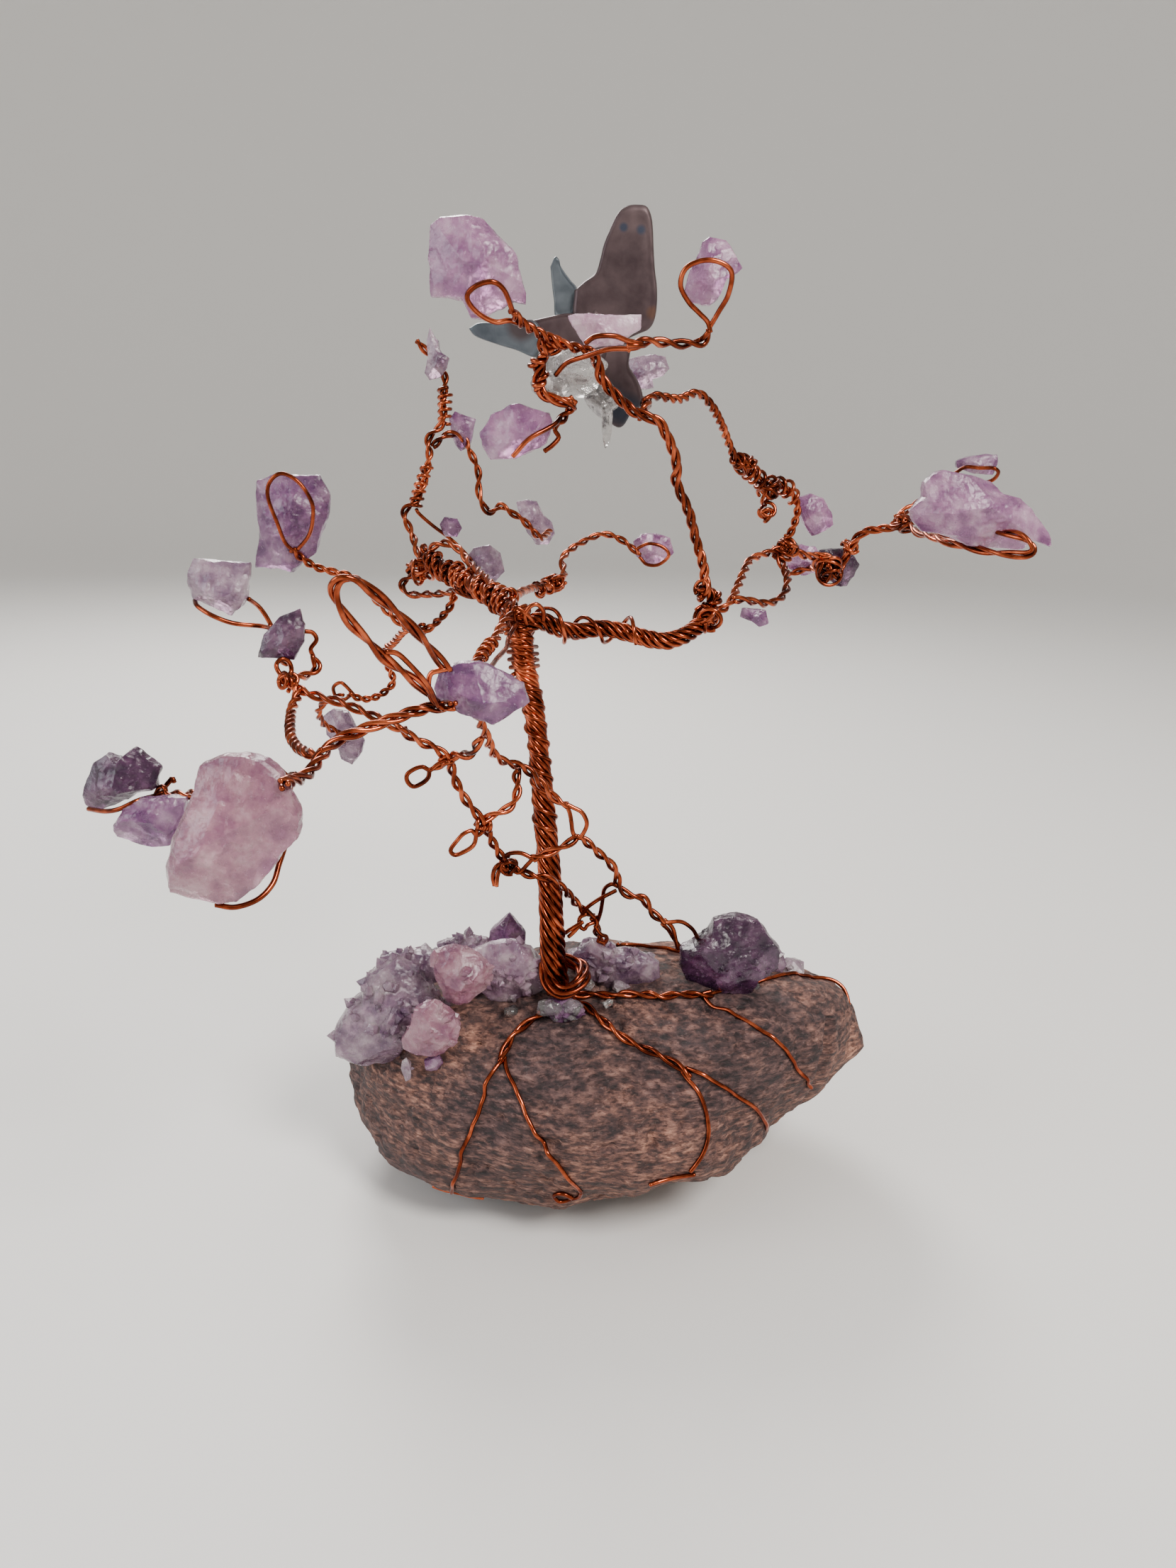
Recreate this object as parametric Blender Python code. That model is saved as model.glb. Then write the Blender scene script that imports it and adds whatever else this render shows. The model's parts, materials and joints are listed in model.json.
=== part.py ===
"""A little tree of twisted copper wire on a stone, hung with rough amethyst and a metal butterfly.

Lengths are in millimetres up to the last step, which scales them to metres.
The origin is the trunk's foot in plan, on the table. +X is the viewer's right, -Y the front, +Z up.
"""
import math

import bmesh
import bpy
import numpy as np

MM = 0.001
GAP = 0.5

# The tree's overall sizes. The routes below are laid out at these two sizes.
CROWN_WIDTH = 122.0
TREE_HEIGHT = 110.0
LAID_WIDTH = 122.0
LAID_HEIGHT = 110.0
FOOT_HEIGHT = 36.5
TRUNK_LENGTH = 55.0

# The stone: its middle, and how far it reaches each way from there.
STONE_MIDDLE = (8.0, 9.0, 16.0)
STONE_LEFT = 42.0
STONE_RIGHT = 44.0
STONE_FRONT = 28.0
STONE_BACK = 29.0
STONE_UP = 20.5
STONE_DOWN = 18.5
STONE_ROUNDNESS = 1.9
STONE_AROUND = 40
STONE_RINGS = 22

# Wire radii.
TRUNK = 1.9
BOUGH = 1.4
BRANCH = 0.85
PAIR = 0.65
SINGLE = 0.45
ROOT = 0.6

BUTTERFLY_Y = 12.0
BUTTERFLY_THICK = 2.0
STEPS = 2

# name: (radius, cut from the start, cut from the end, points)
WIRES = {
    "trunk": (TRUNK, 0, 0, [
        (0, 0, 36.5), (-1, 0, 46.5), (-1.5, 1, 54), (-2.5, 2, 62.5), (-3, 2.5, 67.5), (-4.5, 4, 78),
        (-6, 4.5, 84), (-6.5, 5, 88), (-7, 5.5, 91.5)]),
    "right_bough": (BOUGH, TRUNK + 1.8, 0, [
        (-7, 5, 89.5), (-4, 5, 91), (-1.5, 6, 89.5), (1.5, 8, 89), (5, 9, 89), (9.5, 8.5, 88.5),
        (13.5, 8, 87.5), (16.5, 8.5, 88), (19, 10, 90), (20.5, 11, 91.5)]),
    "upright_branch": (BRANCH, 0, 0, [
        (21, 11, 94), (19.5, 10.5, 96.5), (19, 10, 99), (18, 9, 102.5), (16, 7, 107), (14.5, 5.5, 110),
        (14, 4, 113), (13, 2.5, 116.5), (11.5, 1.5, 118.5), (8, 0.5, 119.5), (6, 0, 121), (4, -1, 123),
        (3, -2, 125), (2.5, -3, 126)]),
    "crown_left_branch": (PAIR, 0, 0, [
        (1, -3.5, 127.5), (-1.5, -5, 127), (-3.5, -6, 127.5), (-5, -8, 128.5), (-6.5, -10, 129.5),
        (-7.5, -12, 130), (-8, -14, 132), (-9.5, -15, 133), (-11, -15, 132.5), (-12, -14.5, 131.5),
        (-12, -13.5, 130.5), (-11, -12, 129.5), (-9.5, -10.5, 129)]),
    "crown_right_branch": (PAIR, 0, 0, [
        (4, -6, 126.5), (7, -7, 127), (11, -5, 128), (14, -3, 127.5), (16, -2, 128), (17, -2.5, 129.5),
        (16, -3, 131), (14, -4, 132.5), (13, -5, 134.5), (13.5, -5.5, 136.5), (16.5, -5.5, 137.5),
        (19, -5, 136), (19, -4, 133.5), (18, -3, 131.5)]),
    "crown_hanger": (PAIR, 0, 0, [
        (-3.5, -4, 125.5), (-4, -3, 124.5), (-4.5, -2, 122), (-3.5, -1.5, 121), (-0.5, -1, 120.5),
        (0, 0, 119.5), (-1.5, 0, 118)]),
    "upper_right_branch": (BRANCH, 2.4, 1.8, [
        (9.5, 1.5, 119.5), (9.5, 3, 121), (11, 5, 121.5), (14.5, 9, 121.5), (17, 13, 122),
        (19.5, 16, 120.5), (21.5, 20, 118), (23.5, 24, 114.5), (26, 27, 112), (29.5, 30, 109.5),
        (33, 32, 109.5), (36, 34, 106), (35.5, 35, 102.5), (34.5, 35.5, 100.5)]),
    "ring_loop": (PAIR, 0, 0, [
        (24, 14, 93), (25, 18, 94.5), (27, 24, 96.5), (29, 29, 98), (31.5, 32.5, 98.5),
        (34, 32.5, 97.5), (34.5, 28, 95), (33.5, 24, 93), (30.5, 20, 92), (27, 16, 93)]),
    "far_right_branch": (BRANCH, 0, 0, [
        (35.5, 36, 99), (39, 38, 98), (43, 41, 97.5), (45.5, 42, 98), (48.5, 41, 101), (51.5, 39, 102.5),
        (54.5, 36, 103.5), (55.5, 30, 102.5), (57.5, 24, 101), (59.5, 18, 100), (62, 13, 99.5)]),
    "far_rear_wire": (PAIR, 1.9, 0, [
        (53, 39, 103), (56.5, 41, 106), (59.5, 43, 108), (63.5, 44, 110.5)]),
    "left_rear_bough": (BOUGH, TRUNK + 1.7, 0, [
        (-7, 5, 90), (-8.5, 6, 91.5), (-11, 12, 93), (-14.5, 20, 93), (-18.5, 27, 93.5),
        (-21.5, 32, 94.5), (-23.5, 35, 95.5)]),
    "upper_left_branch": (BRANCH, 1.4, 0, [
        (-23.5, 35, 95.5), (-26, 38, 95.5), (-27.5, 41, 98.5), (-29, 43, 102), (-27, 44, 104),
        (-26, 45, 107), (-25, 46, 111.5), (-25.5, 47, 114.5), (-23, 48, 117), (-23, 49, 120.5),
        (-23, 49, 124)]),
    "inner_left_branch": (PAIR, 2, 0, [
        (-24.5, 47, 113.5), (-22.5, 47, 112), (-19.5, 48, 111), (-17.5, 51, 110), (-17, 51.5, 104.5),
        (-15.5, 51, 102), (-13.5, 50, 103.5), (-11.5, 50, 102), (-9.5, 52, 101.5), (-8.5, 56, 101)]),
    "left_drooping_branch": (BRANCH, 0.4, 1.5, [
        (-18.5, 26.5, 91), (-19.5, 26, 88), (-21.5, 27, 86), (-24, 28, 84), (-27, 29, 84.5),
        (-30, 35, 81), (-32, 39, 79), (-32, 40, 76), (-31, 40, 73.5), (-33, 39, 71), (-36, 38, 70.5),
        (-38.5, 37, 71.5), (-41, 38, 70.5), (-44.5, 41, 67.5), (-45, 46, 64)]),
    "pendant_wire": (PAIR, 2, 0, [
        (-27, 29, 84.5), (-30.5, 29.5, 88), (-35, 30, 92), (-38, 29.5, 93), (-40, 29, 94)]),
    "middle_rear_branch": (PAIR, 2.4, 0, [
        (-9, 14, 93), (-6.5, 30, 91.5), (-3.5, 38, 91), (-1.5, 44, 92.5), (-2, 49, 95), (1, 54, 97),
        (5, 58, 98.5), (8, 60, 97.5), (10, 61, 96.5)]),
    "front_stem": (BRANCH, TRUNK + 1, 0, [
        (-7, 5.5, 91), (-7.5, 2, 91.5), (-9, -2, 91), (-9, -6, 90), (-10, -11, 89.5), (-10.5, -15, 89)]),
    "front_hairpin": (PAIR, 0, 0, [
        (-15.5, -28, 87.5), (-17.5, -31, 90), (-19.5, -33, 92.5), (-21.5, -35, 95), (-22.5, -37, 97.5),
        (-24, -38, 99.5), (-23, -38.5, 101), (-21.5, -38, 101), (-20, -37, 100), (-18, -35, 98),
        (-16, -33, 95.5), (-14.5, -30, 92.5)]),
    "front_left_branch": (BRANCH, 2, 0, [
        (-13, -24, 85), (-16.5, -27, 84.5), (-20, -28, 84), (-23, -29, 82.5), (-25.5, -31, 82),
        (-26.5, -34, 81), (-27, -37, 80)]),
    "left_branch": (PAIR, 0.2, 2.2, [
        (-21, -16, 79.5), (-25, -14, 80.5), (-29, -12, 82), (-33, -10, 82.5), (-35, -10.5, 83),
        (-35, -14, 82), (-33.5, -20, 81), (-31.5, -27, 80.5), (-28.5, -32, 81), (-26.5, -34, 81)]),
    "left_twig": (SINGLE, 1.8, 0, [
        (-35, -10.5, 83), (-37, -8, 84), (-39, -2, 85), (-40.5, 0, 89.5), (-43, -1, 91)]),
    "left_ladder_rail": (PAIR, 0, 0.9, [
        (-21.5, -14, 79), (-19, -12.5, 77), (-16.5, -11, 75.5), (-15, -10, 74), (-14.5, -9, 71),
        (-13, -8, 68), (-10.5, -7, 64), (-10, -6, 61.5), (-8.5, -5, 58.5), (-7, -4, 56.5),
        (-4, -4, 55.5), (-2, -3.5, 55), (0, -3.2, 53.5), (2, -2, 51), (3.5, 1, 47), (6, 2.5, 44.5),
        (6.5, 3.5, 41), (7.5, 5, 38.5)]),
    "right_ladder_rail": (PAIR, 0, 0, [
        (-10.5, -17, 80.5), (-9.5, -15, 78.5), (-9, -11, 75.5), (-7.5, -8, 73), (-5.5, -5.5, 72),
        (-3.5, -4.5, 70), (-2, -4, 68), (-0.5, -4, 66.5), (1.5, -4, 65.5), (3.5, -4, 63.5),
        (3, -4, 61.5), (4.5, -3, 60), (6.5, -2, 58), (8, -1, 56), (8.5, 0, 52), (10.5, 0.5, 50.5),
        (12.5, 1, 50), (14, 1.5, 48), (16, 2, 46), (18.5, 3, 41.5)]),
    "upper_rung": (PAIR, 1.8, 1.8, [
        (-10.5, -7, 64), (-8.5, -6.5, 65.5), (-7, -6, 66.5), (-6, -5.5, 68.5), (-5.8, -5.3, 71.5)]),
    "lower_rung": (PAIR, 2.2, 2.9, [
        (3.2, -4, 61.8), (0, -4.5, 60), (-2.5, -5, 58.5), (-4.5, -4.5, 57), (-7, -4, 56)]),
}

# Wires that lie on the stone: name: (radius, cut from the start, cut from the end, points in plan and height)
ROOTS = {
    "front_left_root": (ROOT, 0, 0, [
        (-1.5, -4.5, 34), (-3.5, -6, 33), (-5.5, -7.5, 31.5), (-7, -9.5, 30), (-8, -11.5, 27.5),
        (-10.5, -14.5, 22.5), (-12.5, -15.5, 16.5), (-14, -11.5, 8.5)]),
    "front_middle_root": (SINGLE, 2.1, 0, [
        (-7, -9.5, 30), (-6, -11.5, 28), (-4.5, -14, 26), (-2.5, -17, 22.5), (0.5, -18.5, 19.5),
        (3, -19.5, 16.5), (4.5, -19.5, 13.5)]),
    "front_right_root": (ROOT, 0, 0, [
        (2.5, -3, 35), (4, -3.5, 35), (6, -5.5, 34.5), (8.5, -8, 33), (11.5, -9.5, 32), (15, -10.5, 31),
        (17.5, -11.5, 30), (19, -12.5, 28.5), (21, -14, 26.5), (22, -15.5, 23.5), (22, -17, 21),
        (21, -18, 18.5)]),
    "outer_right_root": (SINGLE, 2.1, 0, [
        (17.5, -11.5, 30), (21, -11.5, 29), (24.5, -12, 27), (27.5, -12.5, 25.5), (30, -13, 23.5),
        (32, -13.5, 20.5), (34, -13.5, 18)]),
    "back_right_root": (ROOT, 0, 0, [
        (5.5, -1.2, 36), (9, -1.5, 36), (13, -1.5, 36), (16, -1.5, 35.5), (18.5, 0, 35.5),
        (21.5, 0, 35), (25.5, 2.5, 35), (31, 4, 34), (37, 6, 33), (42, 7, 31), (45, 6, 29)]),
    "side_right_root": (SINGLE, 1.8, 0, [
        (20.5, 0, 35), (24, -2, 34), (29.5, -3, 32), (34, -4, 29.5), (37, -5.5, 27.5),
        (38.5, -6.5, 25.5), (41.5, -6.5, 23)]),
}

# Rough crystals in the crown: name: (middle, half sizes, colour)
CRYSTALS = {
    "top_left_crystal": ((-12, -4.5, 137.5), (6, 3.5, 5.5), "pale"),
    "slab_crystal": ((4, 3, 129.5), (5, 2.5, 2.5), "pale"),
    "top_right_crystal": ((17, -0.5, 136), (3.5, 2.5, 4.5), "pale"),
    "behind_wing_crystal": ((9.5, 47.5, 127), (5, 3.5, 6), "pale"),
    "hanging_crystal": ((-7.5, 0, 116), (5, 3, 3.5), "pale"),
    "rear_tip_crystal": ((-25, 49.5, 129.5), (2, 2, 4.5), "pale"),
    "rear_left_crystal": ((-19.5, 52, 116.5), (2.5, 2.5, 3), "pale"),
    "rear_low_crystal": ((-15.5, 48, 94.5), (3, 3, 3.5), "pale"),
    "far_rear_crystal": ((-7.5, 66, 99.5), (3.5, 3.5, 4), "pale"),
    "middle_rear_crystal": ((14.5, 63, 95), (4, 3.5, 3.5), "pale"),
    "pendant_crystal": ((-45.5, 29, 100), (5, 3.5, 7.5), "pale"),
    "left_upper_crystal": ((-47.5, -4, 95.5), (4.5, 3.5, 3.5), "pale"),
    "left_knot_crystal": ((-37, -5.5, 91), (2.5, 2.5, 3.5), "dark"),
    "front_crystal": ((-8.5, -21, 86), (6, 4, 4), "pale"),
    "far_left_upper_crystal": ((-55, -20, 74), (5, 3.5, 3.5), "dark"),
    "far_left_lower_crystal": ((-50, -25, 66.5), (4.5, 3.5, 3), "pale"),
    "front_left_crystal": ((-33.5, -43, 74), (7, 4.5, 8.5), "pink"),
    "rear_droop_crystal": ((-42.5, 53, 59.5), (3, 3, 5), "pale"),
    "far_right_crystal": ((60, 15, 107.5), (10, 4.5, 5.5), "pale"),
    "far_rear_right_crystal": ((68.5, 45.5, 112.5), (3.5, 3, 1.5), "pale"),
    "coil_crystal": ((40.5, 42, 104), (3, 3, 3), "pale"),
    "behind_coil_crystal": ((41.5, 59, 95), (3, 3, 3), "pale"),
    "below_coil_crystal": ((47, 48, 94), (3.5, 3.5, 3.5), "dark"),
}

# Amethyst on the stone: name: (middle, half sizes, colour)
STONE_CRYSTALS = {
    "left_cluster": ((-25.5, 1, 31), (9, 8, 7), "pale"),
    "middle_cluster": ((-12.5, 8, 38), (7.5, 6, 5.5), "pale"),
    "back_cluster": ((10.5, 9, 38), (9, 5, 3), "pale"),
    "dark_cluster": ((27, 13, 36.5), (7.5, 6, 6), "dark"),
}

# The butterfly's outline, seen from the front, as (x, z).
BUTTERFLY = [
    (-15, 129.5), (-14, 130.5), (-6.5, 131), (-3, 132), (-3.5, 136.5), (-3.5, 138.5), (-3, 139),
    (-1.5, 137.5), (-0.5, 135), (0.5, 136), (2.5, 137), (2.5, 138.5), (4, 142.5), (6, 145), (8, 146),
    (9.5, 143.5), (10.5, 138), (11, 133.5), (10, 130.5), (8, 127), (9, 123.5), (9.5, 120.5),
    (8.5, 118), (6, 117), (4, 121.5), (3.5, 125), (-1, 125.5), (-5.5, 125), (-8.5, 127), (-13, 128)]

COLOURS = {
    "copper": ((0.72, 0.30, 0.16), 0.95, 0.35),
    "stone": ((0.42, 0.33, 0.27), 0.0, 0.9),
    "pale": ((0.66, 0.58, 0.74), 0.0, 0.3),
    "pink": ((0.72, 0.60, 0.68), 0.0, 0.3),
    "dark": ((0.30, 0.20, 0.36), 0.0, 0.25),
    "butterfly": ((0.16, 0.13, 0.13), 0.7, 0.5),
}


def material_of(node, kind):
    colour, metallic, roughness = COLOURS[kind]
    material = bpy.data.materials.new(node + "_material")
    material.use_nodes = True
    shader = material.node_tree.nodes["Principled BSDF"]
    shader.inputs["Base Color"].default_value = (*colour, 1.0)
    shader.inputs["Metallic"].default_value = metallic
    shader.inputs["Roughness"].default_value = roughness
    return material


def in_tree(point):
    """A laid-out point of the tree, at the tree's own width and height. It spreads from the foot upwards."""
    x, y, z = point
    up = min(1.0, max(0.0, (z - FOOT_HEIGHT) / TRUNK_LENGTH))
    wide = 1.0 + (CROWN_WIDTH / LAID_WIDTH - 1.0) * up
    tall = TREE_HEIGHT / LAID_HEIGHT
    return np.array([x * wide, y * wide, FOOT_HEIGHT + (z - FOOT_HEIGHT) * tall])


def smooth(points, steps=STEPS):
    """Points along a Catmull-Rom curve through these."""
    p = np.array(points, float)
    p = np.vstack([2 * p[0] - p[1], p, 2 * p[-1] - p[-2]])
    out = []
    for i in range(1, len(p) - 2):
        for k in range(steps):
            t = k / steps
            a = 2 * p[i]
            b = p[i + 1] - p[i - 1]
            c = 2 * p[i - 1] - 5 * p[i] + 4 * p[i + 1] - p[i + 2]
            d = -p[i - 1] + 3 * p[i] - 3 * p[i + 1] + p[i + 2]
            out.append(0.5 * (a + b * t + c * t * t + d * t ** 3))
    return np.array(out + [p[-2]])


def shortened(points, start, end):
    """The path with these lengths cut from its start and its end."""
    for length in (start, end):
        steps = np.linalg.norm(np.diff(points, axis=0), axis=1)
        along = np.concatenate([[0.0], np.cumsum(steps)])
        if length > 0:
            keep = along > length + 0.2
            first = [np.interp(length, along, points[:, k]) for k in range(3)]
            points = np.vstack([[first], points[keep]])
        points = points[::-1]
    return points


def stone_radius(direction):
    """How far the stone's skin lies from its middle, along a unit direction."""
    x, y, z = direction
    side = STONE_LEFT if x < 0 else STONE_RIGHT
    depth = STONE_FRONT if y < 0 else STONE_BACK
    rise = STONE_DOWN if z < 0 else STONE_UP
    low = max(0.0, -z)
    power = STONE_ROUNDNESS + 1.2 * max(0.0, -x) * low
    total = abs(x / side) ** power + abs(y / depth) ** power + abs(z / rise) ** power
    taper = 1.0 - 0.55 * max(0.0, x) * low
    lumps = 0.02 * math.sin(5 * x + 2) * math.cos(4 * y - 1) + 0.015 * math.sin(7 * z + 3 * x)
    return total ** (-1 / power) * taper * (1 + lumps)


def above_stone(point, lift):
    """The point moved straight out from the stone's middle, to this far above its skin."""
    middle = np.array(STONE_MIDDLE)
    away = np.array(point, float) - middle
    away /= np.linalg.norm(away)
    return middle + away * (stone_radius(away) + lift)


def add_mesh(name, points, faces, kind):
    mesh = bpy.data.meshes.new(name)
    mesh.from_pydata([tuple(float(v) * MM for v in p) for p in points], [], faces)
    shaped = bmesh.new()
    shaped.from_mesh(mesh)
    bmesh.ops.triangulate(shaped, faces=shaped.faces)
    bmesh.ops.recalc_face_normals(shaped, faces=shaped.faces)
    shaped.to_mesh(mesh)
    shaped.free()
    mesh.materials.append(material_of(name, kind))
    COLLECTION.objects.link(bpy.data.objects.new(name, mesh))


def add_wire(name, points, radius):
    curve = bpy.data.curves.new(name, "CURVE")
    curve.dimensions = "3D"
    curve.bevel_depth = radius * MM
    curve.bevel_resolution = 2
    curve.use_fill_caps = True
    spline = curve.splines.new("POLY")
    spline.points.add(len(points) - 1)
    for place, point in zip(spline.points, points):
        place.co = (*(float(v) * MM for v in point), 1.0)
    curve.materials.append(material_of(name, "copper"))
    COLLECTION.objects.link(bpy.data.objects.new(name, curve))


def add_stone():
    """Rings of points round the vertical axis; the ones under the table are lifted to it."""
    middle = np.array(STONE_MIDDLE)
    points = []
    for ring in range(1, STONE_RINGS):
        tilt = math.pi * (ring / STONE_RINGS - 0.5)
        for k in range(STONE_AROUND):
            turn = 2 * math.pi * k / STONE_AROUND
            away = np.array([math.cos(tilt) * math.cos(turn), math.cos(tilt) * math.sin(turn), math.sin(tilt)])
            points.append(middle + away * stone_radius(away))
    for away in ((0.0, 0.0, -1.0), (0.0, 0.0, 1.0)):
        points.append(middle + np.array(away) * stone_radius(away))
    points = np.array(points)
    points[:, 2] = np.maximum(points[:, 2], 0.0)
    bottom, top = len(points) - 2, len(points) - 1
    faces = []
    for k in range(STONE_AROUND):
        after = (k + 1) % STONE_AROUND
        for ring in range(STONE_RINGS - 2):
            low = ring * STONE_AROUND
            high = low + STONE_AROUND
            faces.append((low + k, low + after, high + after, high + k))
        last = (STONE_RINGS - 2) * STONE_AROUND
        faces.append((bottom, after, k))
        faces.append((top, last + k, last + after))
    add_mesh("stone_base", points, faces, "stone")


def crystal_points(middle, half, seed):
    """A round-cornered lump with flat faces: a ball whose caps are pressed flat in seeded directions."""
    ball = bmesh.new()
    bmesh.ops.create_icosphere(ball, subdivisions=2, radius=1.0)
    points = np.array([tuple(v.co) for v in ball.verts])
    faces = [tuple(v.index for v in f.verts) for f in ball.faces]
    ball.free()
    random = np.random.default_rng(seed)
    for _ in range(9):
        way = random.normal(size=3)
        way /= np.linalg.norm(way)
        limit = random.uniform(0.72, 0.92)
        over = points @ way - limit
        points -= np.outer(np.maximum(over, 0.0), way) * 0.97
    return np.array(middle) + points * np.array(half), faces


def main():
    for obj in list(bpy.data.objects):
        bpy.data.objects.remove(obj, do_unlink=True)
    bpy.context.scene.collection.children.link(COLLECTION)
    add_stone()
    for name, (radius, start, end, points) in WIRES.items():
        path = smooth([in_tree(p) for p in points])
        add_wire(name, shortened(path, start, end), radius)
    for name, (radius, start, end, points) in ROOTS.items():
        path = [above_stone(p, radius + GAP) for p in smooth(points)]
        add_wire(name, shortened(np.array(path), start, end), radius)
    seed = 10
    for name, (middle, half, kind) in CRYSTALS.items():
        seed += 1
        points, faces = crystal_points(in_tree(middle), half, seed)
        add_mesh(name, points, faces, kind)
    for name, (middle, half, kind) in STONE_CRYSTALS.items():
        seed += 1
        points, faces = crystal_points(middle, half, seed)
        centre = np.array(STONE_MIDDLE)
        for k, point in enumerate(points):
            away = point - centre
            out = np.linalg.norm(away)
            least = stone_radius(away / out) + GAP + 0.4
            points[k] = centre + away / out * max(out, least)
        add_mesh(name, points, faces, kind)
    wing = np.array([in_tree((x, BUTTERFLY_Y, z)) for x, z in BUTTERFLY])
    count = len(wing)
    back = wing + np.array([0.0, BUTTERFLY_THICK, 0.0])
    faces = [tuple(range(count)), tuple(range(2 * count - 1, count - 1, -1))]
    for k in range(count):
        after = (k + 1) % count
        faces.append((k, k + count, after + count, after))
    add_mesh("butterfly", np.vstack([wing, back]), faces, "butterfly")


COLLECTION = bpy.data.collections.new("wire_gem_tree")
main()
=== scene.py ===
"""A little tree of twisted copper wire on a stone, with rough amethyst and a metal butterfly.

Points are in millimetres in the row frame and are scaled to metres when a mesh is made.
"""
import functools
import math
import re

import bmesh
import bpy
import numpy as np
from mathutils import Matrix, Vector
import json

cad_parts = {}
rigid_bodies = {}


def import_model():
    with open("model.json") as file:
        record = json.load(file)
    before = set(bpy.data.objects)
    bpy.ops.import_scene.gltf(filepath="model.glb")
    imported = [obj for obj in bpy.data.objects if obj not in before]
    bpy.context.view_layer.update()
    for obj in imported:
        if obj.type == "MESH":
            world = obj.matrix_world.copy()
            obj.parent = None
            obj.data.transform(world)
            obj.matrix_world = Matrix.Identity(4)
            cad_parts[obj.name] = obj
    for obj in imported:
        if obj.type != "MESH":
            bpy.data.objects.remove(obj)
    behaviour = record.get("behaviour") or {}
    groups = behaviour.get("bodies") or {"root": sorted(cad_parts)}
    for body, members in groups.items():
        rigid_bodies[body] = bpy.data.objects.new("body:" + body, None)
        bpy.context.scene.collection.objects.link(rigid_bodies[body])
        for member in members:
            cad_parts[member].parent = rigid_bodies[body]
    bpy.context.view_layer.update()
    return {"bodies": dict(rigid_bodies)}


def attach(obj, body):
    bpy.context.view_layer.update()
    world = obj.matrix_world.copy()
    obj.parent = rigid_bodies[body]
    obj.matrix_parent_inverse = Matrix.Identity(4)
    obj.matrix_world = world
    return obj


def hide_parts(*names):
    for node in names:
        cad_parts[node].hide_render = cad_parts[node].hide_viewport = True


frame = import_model()
BODY = list(frame["bodies"])[0]
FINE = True
MM = 0.001
STRAND_SIDES = 8 if FINE else 6
WIRE_STEP = 0.26 if FINE else 0.6
WRAP_RADIUS = 0.31
SWEEP = 2 * math.pi

# kind: (strands, strand radius, lay radius, pitch)
KINDS = {
    "single": (1, 0.33, 0.0, 10.0),
    "double": (2, 0.34, 0.35, 12.0),
    "loose": (2, 0.33, 0.36, 8.0),
    "pair": (2, 0.33, 0.38, 5.8),
    "tight": (2, 0.33, 0.38, 3.7),
    "branch": (3, 0.32, 0.46, 7.0),
    "rope": (6, 0.33, 0.98, 8.0),
    "curl": (5, 0.34, 0.8, 30.0),
}

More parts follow.
